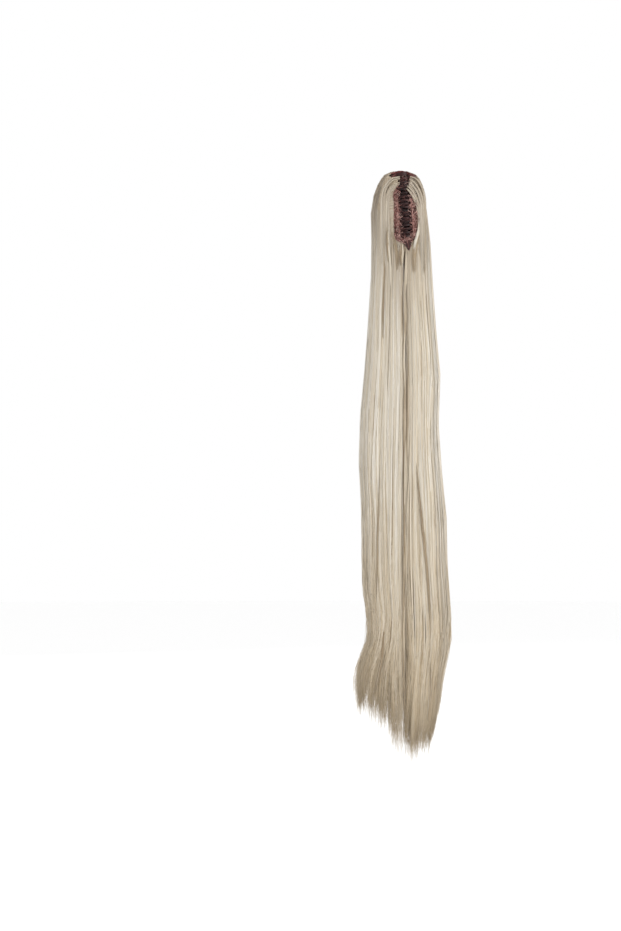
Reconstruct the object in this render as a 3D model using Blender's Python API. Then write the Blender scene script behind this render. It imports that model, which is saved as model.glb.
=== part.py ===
"""Claw-clip ponytail hairpiece, hanging by its claw.

+Z is up and the claw's length, -Y is the side that lies against the head,
and the long hair falls on the +Y side. The origin is the middle of the claw's cavity.
"""
import math

import bmesh
import bpy
from mathutils import Matrix, Vector

# Overall sizes of the hair, in metres.
HAIR_LENGTH = 0.751
HAIR_HALF_WIDTH = 0.053
HAIR_HALF_DEPTH = 0.022
CROWN_HEIGHT = 0.0483
TAIL_AXIS_X = -0.0058

# Sizes of the claw. Its ring is the middle line of the jaws' wall.
RING_HALF_WIDTH = 0.0155
RING_HALF_DEPTH = 0.0160
JAW_WALL = 0.0022
JAW_TOP = 0.0445
JAW_TOP_SLOPE = 0.0115
JAW_BOTTOM = -0.0455
CLAW_LEAN = math.radians(4.0)
TOOTH_PITCH = 0.0092
TOOTH_ROOT_HEIGHT = 0.0034
TOOTH_TIP_SHARE = 0.62
TEETH_PER_JAW = 9
RIGHT_TOP_TOOTH = 0.0365
TOP_BAR_HEIGHT = 0.0055
JAW_BACK_ANGLE = math.radians(166.0)
TOOTH_ROOT_ANGLE = math.radians(52.0)
TOOTH_TIP_ANGLE = math.radians(-21.0)
RIM_STEP = 0.0008

# Pivot of the claw, behind the jaws.
PIVOT_Y = 0.0168
PIN_RADIUS = 0.0011
PIN_LENGTH = 0.041
KNUCKLE_RADIUS = 0.0027
KNUCKLE_LENGTH = 0.0060
RIGHT_KNUCKLE_Z = (0.0160, -0.0085)
LEFT_KNUCKLE_Z = (0.0085, -0.0160)
RUNNING_GAP = 0.0003
HANDLE_LENGTH = 0.0085
HANDLE_HEIGHT = 0.036
HANDLE_ANGLE = math.radians(35.0)
SPRING_RADIUS = 0.0021
SPRING_WIRE = 0.00042
SPRING_TURNS = 3
SPRING_PITCH = 0.0016
SPRING_TURN_STEPS = 12
LUG_ROOT = 0.0006
LUG_SHARE = 0.93
HOLE_LENGTH = 0.058

# Net that covers the claw. It bulges behind the pivot over the handles.
NET_WALL = 0.0012
NET_BACK_RISE = 0.0105
NET_PIVOT_RISE = 0.0042
NET_BULGE_END = 0.036
NET_BULGE_EASE = 0.014
NET_SIDE_FLARE = 0.0004
NET_FLARE_SHARE = 0.30
NET_RIM_DROP = 0.0010
NET_RIM_LEVEL = 0.034
NET_HEIGHTS = (0.031, 0.024, 0.012, 0.0, -0.012, -0.024, -0.033, -0.041)
NET_CLAW_ROOM = 0.0012
NET_BOTTOM = -0.0530
NET_LOBE_TURNS = (25.0, 50.0, 70.0)
NET_CENTRE_Y = 0.001
NET_EDGE_ANGLE = math.radians(27.0)
LOBE_ROOM = 0.0008

# Bands of sewn hair roots along the net's front edges.
WEFT_WALL = 0.0012
WEFT_START_ANGLE = math.radians(54.0)
WEFT_TURN = math.radians(11.0)
WEFT_HEIGHTS = (0.026, 0.012, 0.0, -0.012, -0.024, -0.033, -0.041)
WEFT_STEPS = 3

# Shape of the hair and of its hollow round the claw.
LOCK_RIDGE = 0.0016
LOCK_RIDGES = 13.0
RIDGE_PHASE = 1.3
RIDGE_DRIFT = 2.0
SECTION_SQUARENESS = 0.86
CROWN_DROP = 0.05
RIDGE_GROWTH_DROP = 0.4
PARTING_ANGLES = (0.0, 0.022, 0.06)
PARTING_SHOULDER = 0.45
TIP_TAPER = 0.90
ROOF_ROOM = 0.0010
WEFT_ROOM_START = math.radians(40.0)
WEFT_ROOM_END = math.radians(80.0)

# Numbers of steps in the faceted shapes.
ARC_STEPS = 16
NET_STEPS = 32
HAIR_STEPS = 27
LOCK_SIDES = 8
LOCK_STEPS = 7

# Outline of the hair from the crown down. The columns are the drop as a share of
# HAIR_LENGTH, the left and right edges as shares of HAIR_HALF_WIDTH from the tail's
# axis, and the head side and far side as shares of HAIR_HALF_DEPTH from the origin.
HAIR_ROWS = (
    (0.001, -0.12, 0.12, -0.20, 0.40),
    (0.004, -0.25, 0.25, -0.50, 0.75),
    (0.008, -0.35, 0.38, -0.68, 0.98),
    (0.015, -0.42, 0.46, -0.80, 1.16),
    (0.027, -0.51, 0.53, -0.90, 1.33),
    (0.044, -0.59, 0.56, -0.97, 1.45),
    (0.064, -0.65, 0.60, -1.00, 1.52),
    (0.105, -0.64, 0.67, -1.01, 1.56),
    (0.135, -0.63, 0.70, -1.00, 1.52),
    (0.166, -0.63, 0.72, -0.97, 1.40),
    (0.228, -0.70, 0.77, -0.91, 1.24),
    (0.289, -0.72, 0.84, -0.87, 1.14),
    (0.350, -0.80, 0.92, -0.86, 1.10),
    (0.412, -0.88, 0.87, -0.88, 1.09),
    (0.473, -0.92, 0.89, -0.90, 1.08),
    (0.534, -0.91, 0.98, -0.93, 1.08),
    (0.596, -0.84, 1.06, -0.95, 1.09),
    (0.657, -0.86, 1.06, -0.95, 1.07),
    (0.718, -0.84, 1.11, -0.92, 1.03),
    (0.759, -0.75, 1.16, -0.90, 1.00),
    (0.790, -0.72, 1.18, -0.87, 0.96),
    (0.820, -0.73, 1.14, -0.82, 0.90),
    (0.850, -0.72, 1.05, -0.74, 0.84),
    (0.880, -0.64, 0.95, -0.64, 0.76),
    (0.910, -0.48, 0.86, -0.52, 0.66),
    (0.940, -0.30, 0.70, -0.38, 0.52),
    (0.962, -0.14, 0.50, -0.24, 0.38),
)

# Parting between the left and right hair on the head side. The columns are the drop
# as a share of HAIR_LENGTH, the place as a share of HAIR_HALF_WIDTH from the tail's
# axis, and the depth as a share of HAIR_HALF_DEPTH.
PARTING_ROWS = (
    (0.000, 0.05, 0.00),
    (0.130, 0.10, 0.00),
    (0.166, 0.12, 0.36),
    (0.228, 0.12, 0.40),
    (0.350, 0.11, 0.30),
    (0.473, 0.09, 0.18),
    (0.657, 0.07, 0.12),
    (0.880, 0.07, 0.08),
    (1.000, 0.07, 0.00),
)

# Locks at the tips. The columns are the root's place across (a share of
# HAIR_HALF_WIDTH), its drop (a share of HAIR_LENGTH) and its depth (a share of
# HAIR_HALF_DEPTH), the same three for the tip, the sideways bow, and the root's
# half width and half depth.
LOCK_ROWS = (
    (-0.55, 0.775, 0.05, -1.02, 0.918, -0.10, -0.10, 0.20, 0.50),
    (-0.46, 0.800, 0.35, -0.86, 0.926, 0.30, -0.07, 0.19, 0.42),
    (-0.40, 0.820, -0.30, -0.71, 0.934, -0.28, -0.06, 0.18, 0.36),
    (-0.30, 0.840, 0.20, -0.46, 0.950, 0.18, -0.04, 0.18, 0.38),
    (-0.16, 0.860, -0.15, -0.28, 0.968, -0.10, -0.03, 0.17, 0.34),
    (-0.02, 0.870, 0.25, -0.14, 0.988, 0.20, -0.02, 0.17, 0.36),
    (0.12, 0.880, -0.10, 0.10, 0.999, -0.02, 0.00, 0.17, 0.34),
    (0.26, 0.880, 0.22, 0.28, 1.000, 0.20, 0.01, 0.17, 0.34),
    (0.40, 0.880, -0.12, 0.47, 0.997, -0.04, 0.02, 0.17, 0.34),
    (0.54, 0.870, 0.18, 0.64, 0.990, 0.16, 0.03, 0.17, 0.34),
    (0.68, 0.855, -0.08, 0.78, 0.976, -0.02, 0.04, 0.17, 0.34),
    (0.80, 0.835, 0.12, 0.93, 0.954, 0.10, 0.06, 0.16, 0.34),
)

# Window in the hair through which the claw shows. The columns are the height as a
# share of JAW_TOP and the left and right edges as shares of RING_HALF_WIDTH.
WINDOW_ROWS = (
    (1.24, -0.52, 0.50),
    (0.96, -0.55, 0.52),
    (0.80, -0.42, 0.36),
    (0.60, -0.50, 0.42),
    (0.40, -0.72, 0.60),
    (0.10, -0.86, 0.86),
    (-0.30, -0.86, 1.00),
    (-0.70, -0.82, 1.00),
    (-0.95, -0.62, 0.84),
    (-1.12, -0.22, 0.46),
)


def clear_scene():
    for item in list(bpy.data.objects):
        bpy.data.objects.remove(item, do_unlink=True)


def material(name, colour, roughness, metallic=0.0):
    made = bpy.data.materials.new(name)
    made.use_nodes = True
    shader = made.node_tree.nodes["Principled BSDF"]
    shader.inputs["Base Color"].default_value = (*colour, 1.0)
    shader.inputs["Roughness"].default_value = roughness
    shader.inputs["Metallic"].default_value = metallic
    return made


def add_object(name, mesh, surface=None, parent=None):
    made = bpy.data.objects.new(name, mesh)
    bpy.context.scene.collection.objects.link(made)
    if surface:
        mesh.materials.append(surface)
    made.parent = parent
    return made


def helper(name, mesh, parent=None):
    made = add_object(name, mesh, None, parent)
    made.hide_render = True
    made.hide_viewport = False
    made.display_type = "WIRE"
    return made


def mesh_from(name, bm):
    bmesh.ops.recalc_face_normals(bm, faces=bm.faces)
    mesh = bpy.data.meshes.new(name)
    bm.to_mesh(mesh)
    bm.free()
    return mesh


def table_value(rows, where, column):
    """Value of one column at a place in a table, straight between its rows."""
    for (low, *first), (high, *second) in zip(rows, rows[1:]):
        if where <= high:
            share = (where - low) / (high - low)
            return first[column] + share * (second[column] - first[column])
    return rows[-1][column + 1]


def loft(name, loops):
    """Closed solid through a list of loops that all have the same number of points."""
    bm = bmesh.new()
    rings = [[bm.verts.new(point) for point in loop] for loop in loops]
    for upper, lower in zip(rings, rings[1:]):
        count = len(upper)
        for i in range(count):
            j = (i + 1) % count
            bm.faces.new((upper[i], upper[j], lower[j], lower[i]))
    bm.faces.new(rings[0])
    bm.faces.new(rings[-1])
    return mesh_from(name, bm)


def boolean(target, operation, other):
    step = target.modifiers.new(other.name, "BOOLEAN")
    step.operation = operation
    step.solver = "EXACT"
    step.object = other


def boolean_group(target, operation, name, others):
    """One Boolean with several helpers at once, kept together in a collection."""
    group = bpy.data.collections.new(name)
    bpy.context.scene.collection.children.link(group)
    for other in others:
        group.objects.link(other)
        bpy.context.scene.collection.objects.unlink(other)
    step = target.modifiers.new(name, "BOOLEAN")
    step.operation = operation
    step.solver = "EXACT"
    step.operand_type = "COLLECTION"
    step.collection = group


def solidify(target, thickness, offset):
    step = target.modifiers.new("wall", "SOLIDIFY")
    step.thickness = thickness
    step.offset = offset
    step.use_even_offset = True
    step.use_quality_normals = True


def ring_point(angle, out=0.0):
    """Point of the claw's ring; angle 0 is the tooth side and a right angle is +X."""
    return (
        (RING_HALF_WIDTH + out) * math.sin(angle),
        -(RING_HALF_DEPTH + out) * math.cos(angle),
    )


def jaw_top(angle):
    return JAW_TOP - JAW_TOP_SLOPE * (1.0 - math.cos(angle)) / 2.0


def tooth_lines(side):
    """Heights of the edges of one jaw's teeth, from the top down."""
    first = RIGHT_TOP_TOOTH if side > 0 else RIGHT_TOP_TOOTH - TOOTH_PITCH / 2.0
    centres = [first - k * TOOTH_PITCH for k in range(TEETH_PER_JAW)]
    half = TOOTH_ROOT_HEIGHT / 2.0
    return [(z + half, z - half) for z in centres]


def jaw_sheet(side):
    """Curved wall of one jaw with its comb of teeth, as a sheet without thickness."""
    edges = []
    if side < 0:
        edges.append((JAW_TOP, JAW_TOP - TOP_BAR_HEIGHT))
    edges += tooth_lines(side)
    lines = [JAW_TOP] if side > 0 else []
    for pair in edges:
        lines += pair
    lines.append(JAW_BOTTOM)
    first_tooth = 0 if side < 0 else 1
    back_steps = ARC_STEPS // 2
    angles = [
        JAW_BACK_ANGLE + (TOOTH_ROOT_ANGLE - JAW_BACK_ANGLE) * k / back_steps
        for k in range(back_steps + 1)
    ]
    tip_steps = ARC_STEPS - back_steps
    angles += [
        TOOTH_ROOT_ANGLE + (TOOTH_TIP_ANGLE - TOOTH_ROOT_ANGLE) * k / tip_steps
        for k in range(1, tip_steps + 1)
    ]
    bm = bmesh.new()
    grid = []
    for k, angle in enumerate(angles):
        x, y = ring_point(angle)
        along = max(0, k - back_steps) / tip_steps
        column = []
        for n, z in enumerate(lines):
            if along > 0.0:
                pair = (n - first_tooth) // 2 * 2 + first_tooth
                if first_tooth <= pair and pair + 1 < len(lines):
                    middle = (lines[pair] + lines[pair + 1]) / 2.0
                    z = middle + (z - middle) * (1.0 + (TOOTH_TIP_SHARE - 1.0) * along)
            height = jaw_top(angle) if n == 0 else z
            height = min(height, jaw_top(angle) - RIM_STEP * n)
            column.append(bm.verts.new((side * x, y, height)))
        grid.append(column)
    for k in range(len(angles) - 1):
        for n in range(len(lines) - 1):
            is_tooth = (n - first_tooth) % 2 == 0 and n >= first_tooth
            if k < back_steps or is_tooth:
                bm.faces.new((grid[k][n], grid[k + 1][n], grid[k + 1][n + 1], grid[k][n + 1]))
    loose = [v for v in bm.verts if not v.link_faces]
    bmesh.ops.delete(bm, geom=loose, context="VERTS")
    return bm


def cylinder(name, radius, length, centre, parent, sides=16):
    bm = bmesh.new()
    bmesh.ops.create_cone(
        bm, cap_ends=True, segments=sides, radius1=radius, radius2=radius, depth=length
    )
    bmesh.ops.translate(bm, verts=bm.verts, vec=centre)
    return helper(name, mesh_from(name, bm), parent)


def block(name, size, turn, centre, parent):
    bm = bmesh.new()
    bmesh.ops.create_cube(bm, size=1.0)
    bmesh.ops.scale(bm, verts=bm.verts, vec=size)
    bmesh.ops.rotate(bm, verts=bm.verts, matrix=Matrix.Rotation(turn, 3, "Z"))
    bmesh.ops.translate(bm, verts=bm.verts, vec=centre)
    return helper(name, mesh_from(name, bm), parent)


def make_jaw(name, side, knuckles, surface, frame):
    """One jaw: a comb-like wall, a handle behind the pivot and two knuckles."""
    bm = jaw_sheet(side)
    jaw = add_object(name, mesh_from(name, bm), surface, frame)
    solidify(jaw, JAW_WALL, 0.0)
    reach_x, reach_y = ring_point(JAW_BACK_ANGLE)
    foot = Vector((side * (reach_x + LUG_ROOT), reach_y, 0.0))
    away = Vector((side * math.sin(HANDLE_ANGLE), math.cos(HANDLE_ANGLE), 0.0))
    turn = -side * HANDLE_ANGLE
    handle = block(
        name + "_handle",
        (JAW_WALL, HANDLE_LENGTH, HANDLE_HEIGHT),
        turn,
        foot + away * HANDLE_LENGTH / 2.0,
        frame,
    )
    boolean(jaw, "UNION", handle)
    for k, z in enumerate(knuckles):
        lug_length = reach_x + LUG_ROOT
        lug = block(
            f"{name}_lug_{k}",
            (lug_length, JAW_WALL, KNUCKLE_LENGTH * LUG_SHARE),
            0.0,
            (side * lug_length / 2.0, reach_y, z),
            frame,
        )
        boolean(jaw, "UNION", lug)
        knuckle = cylinder(
            f"{name}_knuckle_{k}", KNUCKLE_RADIUS, KNUCKLE_LENGTH, (0.0, PIVOT_Y, z), frame
        )
        boolean(jaw, "UNION", knuckle)
    hole = cylinder(
        name + "_hole", PIN_RADIUS + RUNNING_GAP, HOLE_LENGTH, (0.0, PIVOT_Y, 0.0), frame
    )
    boolean(jaw, "DIFFERENCE", hole)
    return jaw


def make_pin(surface, frame):
    bm = bmesh.new()
    bmesh.ops.create_cone(
        bm, cap_ends=True, segments=16, radius1=PIN_RADIUS, radius2=PIN_RADIUS, depth=PIN_LENGTH
    )
    bmesh.ops.translate(bm, verts=bm.verts, vec=(0.0, PIVOT_Y, 0.0))
    pin = add_object("hinge_pin", mesh_from("hinge_pin", bm), surface, frame)
    pin.data.shade_smooth()
    pin.data.set_sharp_from_angle(angle=math.radians(40.0))
    return pin


def make_spring(surface, frame):
    """Coil around the pin between the inner knuckles."""
    points = []
    steps = SPRING_TURNS * SPRING_TURN_STEPS
    height = SPRING_TURNS * SPRING_PITCH
    for k in range(steps + 1):
        angle = 2.0 * math.pi * k / SPRING_TURN_STEPS
        points.append(
            (
                SPRING_RADIUS * math.cos(angle),
                PIVOT_Y + SPRING_RADIUS * math.sin(angle),
                height * (k / steps - 0.5),
            )
        )
    curve = bpy.data.curves.new("clip_spring", "CURVE")
    curve.dimensions = "3D"
    curve.bevel_depth = SPRING_WIRE
    curve.bevel_resolution = 1
    curve.use_fill_caps = True
    spline = curve.splines.new("POLY")
    spline.points.add(len(points) - 1)
    for point, place in zip(spline.points, points):
        point.co = (*place, 1.0)
    return add_object("clip_spring", curve, surface, frame)


def net_point(angle, z, out=0.0):
    """Point on the net's inner face: round the jaws, and bulging over the handles."""
    behind = max(0.0, -math.cos(angle)) ** 0.8
    share = min(1.0, max(0.0, (NET_BULGE_END - abs(z)) / NET_BULGE_EASE))
    ease = share * share * (3.0 - 2.0 * share)
    rise = behind * (NET_PIVOT_RISE + (NET_BACK_RISE - NET_PIVOT_RISE) * ease)
    x, y = ring_point(angle, JAW_WALL / 2.0 + RUNNING_GAP + out)
    flare = NET_SIDE_FLARE + NET_FLARE_SHARE * rise * abs(math.sin(angle))
    fade = min(1.0, abs(x) / RING_HALF_WIDTH * 8.0)
    return (x + math.copysign(flare, x) * fade, y + rise, z)


def net_rows(out=0.0):
    """Heights of the net's rows, and how far each is drawn in under the claw."""
    lobe_top = JAW_BOTTOM - NET_CLAW_ROOM
    depth = lobe_top - NET_BOTTOM + out
    rows = [(z, 1.0) for z in (*NET_HEIGHTS, lobe_top)]
    for degrees in NET_LOBE_TURNS:
        turn = math.radians(degrees)
        rows.append((lobe_top - depth * math.sin(turn), math.cos(turn)))
    return rows


def drawn_in(x, y, share):
    """Point moved towards the claw's middle line, as the net closes under the claw."""
    return (x * share, NET_CENTRE_Y + (y - NET_CENTRE_Y) * share)


def make_net(surface, frame):
    """Net cover of the claw, open along the teeth and closed under their lower end."""
    wall_steps = NET_STEPS - 4
    turn = 2.0 * math.pi - 2.0 * NET_EDGE_ANGLE
    angles = [NET_EDGE_ANGLE + turn * k / wall_steps for k in range(wall_steps + 1)]
    angles += [2.0 * math.pi + NET_EDGE_ANGLE * (k / 2.0 - 1.0) for k in range(1, 4)]
    count = len(angles)
    bm = bmesh.new()
    rings = []
    for n, (z, share) in enumerate(net_rows()):
        ring = []
        for angle in angles:
            x, y, _ = net_point(angle, z if n else NET_RIM_LEVEL)
            height = z if n else jaw_top(angle) - NET_RIM_DROP
            ring.append(bm.verts.new((*drawn_in(x, y, share), height)))
        rings.append(ring)
    lobe_row = len(NET_HEIGHTS) - 1
    for n in range(len(rings) - 1):
        for k in range(count):
            j = (k + 1) % count
            in_window = k >= wall_steps and n < lobe_row
            if not in_window:
                bm.faces.new((rings[n][k], rings[n][j], rings[n + 1][j], rings[n + 1][k]))
    bottom = bm.verts.new((0.0, NET_CENTRE_Y, NET_BOTTOM))
    for k in range(count):
        bm.faces.new((rings[-1][k], rings[-1][(k + 1) % count], bottom))
    loose = [v for v in bm.verts if not v.link_faces]
    bmesh.ops.delete(bm, geom=loose, context="VERTS")
    net = add_object("claw_net", mesh_from("claw_net", bm), surface, frame)
    solidify(net, NET_WALL, 1.0)
    return net


def make_weft(name, side, surface, frame):
    """Band of sewn hair roots along one front edge of the net."""
    out = NET_WALL + RUNNING_GAP
    bm = bmesh.new()
    grid = []
    for z in WEFT_HEIGHTS:
        row = []
        for k in range(WEFT_STEPS + 1):
            angle = WEFT_START_ANGLE + WEFT_TURN * k / WEFT_STEPS
            x, y, height = net_point(angle, z, out)
            row.append(bm.verts.new((side * x, y, height)))
        grid.append(row)
    for upper, lower in zip(grid, grid[1:]):
        for k in range(WEFT_STEPS):
            quad = (upper[k], lower[k], lower[k + 1], upper[k + 1])
            bm.faces.new(quad if side > 0 else tuple(reversed(quad)))
    mesh = bpy.data.meshes.new(name)
    bm.to_mesh(mesh)
    bm.free()
    band = add_object(name, mesh, surface, frame)
    solidify(band, WEFT_WALL, 1.0)
    return band


def hair_section(drop):
    """Loop round the hair at one drop, with the ridges of its locks and its parting."""
    left = TAIL_AXIS_X + HAIR_HALF_WIDTH * table_value(HAIR_ROWS, drop, 0)
    right = TAIL_AXIS_X + HAIR_HALF_WIDTH * table_value(HAIR_ROWS, drop, 1)
    near = HAIR_HALF_DEPTH * table_value(HAIR_ROWS, drop, 2)
    far = HAIR_HALF_DEPTH * table_value(HAIR_ROWS, drop, 3)
    parting_x = TAIL_AXIS_X + HAIR_HALF_WIDTH * table_value(PARTING_ROWS, drop, 0)
    parting_depth = HAIR_HALF_DEPTH * table_value(PARTING_ROWS, drop, 1)
    start = PARTING_ANGLES[-1]
    angles = list(PARTING_ANGLES)
    angles += [start + (math.pi - start) * k / HAIR_STEPS for k in range(1, HAIR_STEPS)]
    angles = angles + [math.pi] + [-a for a in reversed(angles[1:])]
    growth = 0.45 + 0.55 * min(1.0, drop / RIDGE_GROWTH_DROP)
    ridge = LOCK_RIDGE * min(1.0, drop / CROWN_DROP) * growth
    z = CROWN_HEIGHT - HAIR_LENGTH * drop
    loop = []
    for angle in angles:
        reach = right - parting_x if angle >= 0.0 else parting_x - left
        across = math.copysign(abs(math.sin(angle)) ** SECTION_SQUARENESS, angle)
        along = math.copysign(abs(math.cos(angle)) ** SECTION_SQUARENESS, -math.cos(angle))
        turn = LOCK_RIDGES / 2.0 * angle + RIDGE_PHASE + RIDGE_DRIFT * drop
        push = ridge * (abs(math.sin(turn)) ** 0.7 - 1.0)
        x = parting_x + across * (reach + push)
        y = (near + far) / 2.0 + along * ((far - near) / 2.0 + push)
        if angle == 0.0:
            y += parting_depth
        elif abs(angle) < start:
            y += parting_depth * PARTING_SHOULDER
        loop.append((x, y, z))
    return loop


def make_lock(index, row):
    """One tapering lock at the tips, bowed sideways."""
    x0, drop0, y0, x1, drop1, y1, bow, width, thick = row
    loops = []
    for k in range(LOCK_STEPS + 1):
        t = k / LOCK_STEPS
        x = TAIL_AXIS_X + HAIR_HALF_WIDTH * (x0 + (x1 - x0) * t + bow * math.sin(math.pi * t))
        y = HAIR_HALF_DEPTH * (y0 + (y1 - y0) * t)
        z = CROWN_HEIGHT - HAIR_LENGTH * (drop0 + (drop1 - drop0) * t)
        taper = 1.0 - TIP_TAPER * t**2.2
        loop = []
        for n in range(LOCK_SIDES):
            angle = 2.0 * math.pi * (n + 0.25) / LOCK_SIDES
            loop.append(
                (
                    x + HAIR_HALF_WIDTH * width * taper * math.cos(angle),
                    y + HAIR_HALF_DEPTH * thick * taper * math.sin(angle),
                    z,
                )
            )
        loops.append(loop)
    return helper(f"tip_lock_{index}", loft(f"tip_lock_{index}", loops))


def hair_cavity(frame):
    """Space inside the hair for the net-covered claw, with its gap."""
    angles = [2.0 * math.pi * k / NET_STEPS for k in range(NET_STEPS)]
    cover = NET_WALL + RUNNING_GAP
    loops = []
    for n, (z, share) in enumerate(net_rows(cover + LOBE_ROOM)):
        loop = []
        for angle in angles:
            from_teeth = min(angle, 2.0 * math.pi - angle)
            out = cover
            if WEFT_ROOM_START < from_teeth < WEFT_ROOM_END:
                out += WEFT_WALL + RUNNING_GAP
            if share < 1.0:
                out += LOBE_ROOM
            x, y, _ = net_point(angle, z if n else NET_RIM_LEVEL, out)
            height = z if n else jaw_top(angle) + ROOF_ROOM
            loop.append((*drawn_in(x, y, share), height))
        loops.append(loop)
    lowest = NET_BOTTOM - cover - LOBE_ROOM - RUNNING_GAP
    loops.append([(*drawn_in(x, y, 0.15), lowest) for x, y, _ in loops[0]])
    return helper("claw_space", loft("claw_space", loops), frame)


def hair_window(frame):
    """Opening on the head side, through which the teeth and the net show."""
    front_y = -2.0 * HAIR_HALF_DEPTH
    back_y = -0.2 * RING_HALF_DEPTH
    outline = [(left * RING_HALF_WIDTH, share * JAW_TOP) for share, left, _ in WINDOW_ROWS]
    outline += [(right * RING_HALF_WIDTH, share * JAW_TOP)
                for share, _, right in reversed(WINDOW_ROWS)]
    loops = [[(x, y, z) for x, z in outline] for y in (front_y, back_y)]
    return helper("hair_window", loft("hair_window", loops), frame)


def make_hair(surface, frame):
    """All the hair as one solid: the fall with its locks, hollow round the claw."""
    loops = [hair_section(row[0]) for row in HAIR_ROWS]
    hair = add_object("hair_tail", loft("hair_tail", loops), surface)
    locks = [make_lock(index, row) for index, row in enumerate(LOCK_ROWS)]
    boolean_group(hair, "UNION", "tip_locks", locks)
    boolean_group(hair, "DIFFERENCE", "hollows", [hair_cavity(frame), hair_window(frame)])
    return hair


def main():
    clear_scene()
    hair_colour = material("ash_blond_hair", (0.56, 0.49, 0.39), 0.45)
    claw_colour = material("dark_brown_plastic", (0.030, 0.014, 0.013), 0.22)
    net_colour = material("red_brown_net", (0.22, 0.115, 0.095), 0.85)
    steel = material("spring_steel", (0.55, 0.55, 0.56), 0.30, 1.0)

    frame = bpy.data.objects.new("claw_frame", None)
    bpy.context.scene.collection.objects.link(frame)
    frame.rotation_euler = (0.0, -CLAW_LEAN, 0.0)

    make_jaw("claw_jaw_right", 1, RIGHT_KNUCKLE_Z, claw_colour, frame)
    make_jaw("claw_jaw_left", -1, LEFT_KNUCKLE_Z, claw_colour, frame)
    make_pin(steel, frame)
    make_spring(steel, frame)
    make_net(net_colour, frame)
    make_weft("weft_band_right", 1, hair_colour, frame)
    make_weft("weft_band_left", -1, hair_colour, frame)
    make_hair(hair_colour, frame)


main()
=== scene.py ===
# %% [markdown]
# This lesson dresses a claw-clip ponytail hairpiece. The real thing is a hair claw with a
# net sewn over it, and long straight fibre hair sewn to the net in bands. The engineering
# solids already hold the sizes. Here each piece gets its looks: thousands of fine strands
# laid in locks, a fuzzy net, and glossy plastic jaws with rounded edges.

# %% Load the solids
import math

import bmesh
import bpy
import numpy as np
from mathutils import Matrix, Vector
from mathutils.bvhtree import BVHTree


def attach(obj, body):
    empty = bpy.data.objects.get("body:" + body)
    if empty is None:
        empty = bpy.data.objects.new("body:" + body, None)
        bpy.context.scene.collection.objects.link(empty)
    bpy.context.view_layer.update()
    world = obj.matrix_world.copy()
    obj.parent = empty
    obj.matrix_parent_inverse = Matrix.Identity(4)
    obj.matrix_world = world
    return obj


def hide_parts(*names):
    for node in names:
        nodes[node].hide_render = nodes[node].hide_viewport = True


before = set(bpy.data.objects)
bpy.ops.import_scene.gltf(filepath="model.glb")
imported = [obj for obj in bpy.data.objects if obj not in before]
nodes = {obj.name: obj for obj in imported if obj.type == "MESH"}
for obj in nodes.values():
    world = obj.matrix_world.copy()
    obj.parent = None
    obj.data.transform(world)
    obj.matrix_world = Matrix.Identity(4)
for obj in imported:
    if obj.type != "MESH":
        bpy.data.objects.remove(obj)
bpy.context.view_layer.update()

scene = bpy.context.scene

# %% [markdown]
# The colours were judged in a photograph and are written as screen values from 0
# to 255. Shaders want linear light, so one helper turns the first into the second. The
# other helpers start a material, make a colour ramp, and say what a finished piece is.


# %% Helpers for colours, materials and pieces
def screen(red, green, blue):
    """Linear colour of a screen colour given in values from 0 to 255."""
    linear = [((v / 255.0 + 0.055) / 1.055) ** 2.4 for v in (red, green, blue)]
    return (*linear, 1.0)


def principled(name, **values):
    """A material with one Principled shader; returns it, its tree and the shader."""
    made = bpy.data.materials.new(name)
    made.use_nodes = True
    tree = made.node_tree
    shader = tree.nodes["Principled BSDF"]
    for socket, value in values.items():
        shader.inputs[socket.replace("_", " ")].default_value = value
    return made, tree, shader


def ramp(tree, stops):
    """A colour ramp node with (place, colour) stops."""
    node = tree.nodes.new("ShaderNodeValToRGB")
    elements = node.color_ramp.elements
    while len(elements) < len(stops):
        elements.new(0.5)
    for element, (place, colour) in zip(elements, stops):
        element.position = place
        element.color = colour
    return node


def finish_piece(piece, slot_name, *replaced):
    """A finished piece rides on the part's one body and hides the solids it replaces; its slot
    name is not used.
    """
    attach(piece, "root")
    if replaced:
        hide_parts(*replaced)
    print(piece.name, len(piece.data.polygons), "faces")
    return piece


# %% [markdown]
# The strands have to fill the form of the hair solid, so that form is measured first. At
# each height the solid's edges are cut by a level plane, and the outermost crossings give
# the left, right, near and far sides. Numpy can then read them at any height at once.

# %% Measure the hair solid
LEVEL_STEP = 0.004
CROWN_LEVEL = 0.0004
hair_node = nodes["hair_tail"]
corner_count = len(hair_node.data.vertices)
hair_points = np.empty(corner_count * 3)
hair_node.data.vertices.foreach_get("co", hair_points)
hair_points = hair_points.reshape(-1, 3)
edge_pairs = np.empty(len(hair_node.data.edges) * 2, dtype=int)
hair_node.data.edges.foreach_get("vertices", edge_pairs)
edge_starts, edge_ends = hair_points[edge_pairs.reshape(-1, 2)].transpose(1, 0, 2)
hair_bottom = hair_points[:, 2].min()
hair_top = hair_points[:, 2].max()
levels = np.arange(hair_bottom + 0.001, hair_top - 0.0005, LEVEL_STEP)
levels = np.append(levels, hair_top - CROWN_LEVEL)


def level_sides(height):
    """Left, right, near and far side of the hair solid at one height."""
    low = np.minimum(edge_starts[:, 2], edge_ends[:, 2])
    high = np.maximum(edge_starts[:, 2], edge_ends[:, 2])
    cut = (low <= height) & (high > height)
    start, end = edge_starts[cut], edge_ends[cut]
    share = (height - start[:, 2]) / (end[:, 2] - start[:, 2])
    crossing = start + (end - start) * share[:, None]
    x, y = crossing[:, 0], crossing[:, 1]
    return x.min(), x.max(), y.min(), y.max()


sides = np.array([level_sides(z) for z in levels])
print("levels", len(levels), "widest", round(float((sides[:, 1] - sides[:, 0]).max()), 4))

# %% [markdown]
# Near the tips the locks end one after another, so the sides of the solid jump inwards
# there. Strands keep flowing straight down instead and simply stop, so below a holding
# height the sides stay as they are there. How far down the hair reaches at each place
# across is read off the picture as a short table, and each strand ends near that line.

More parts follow.
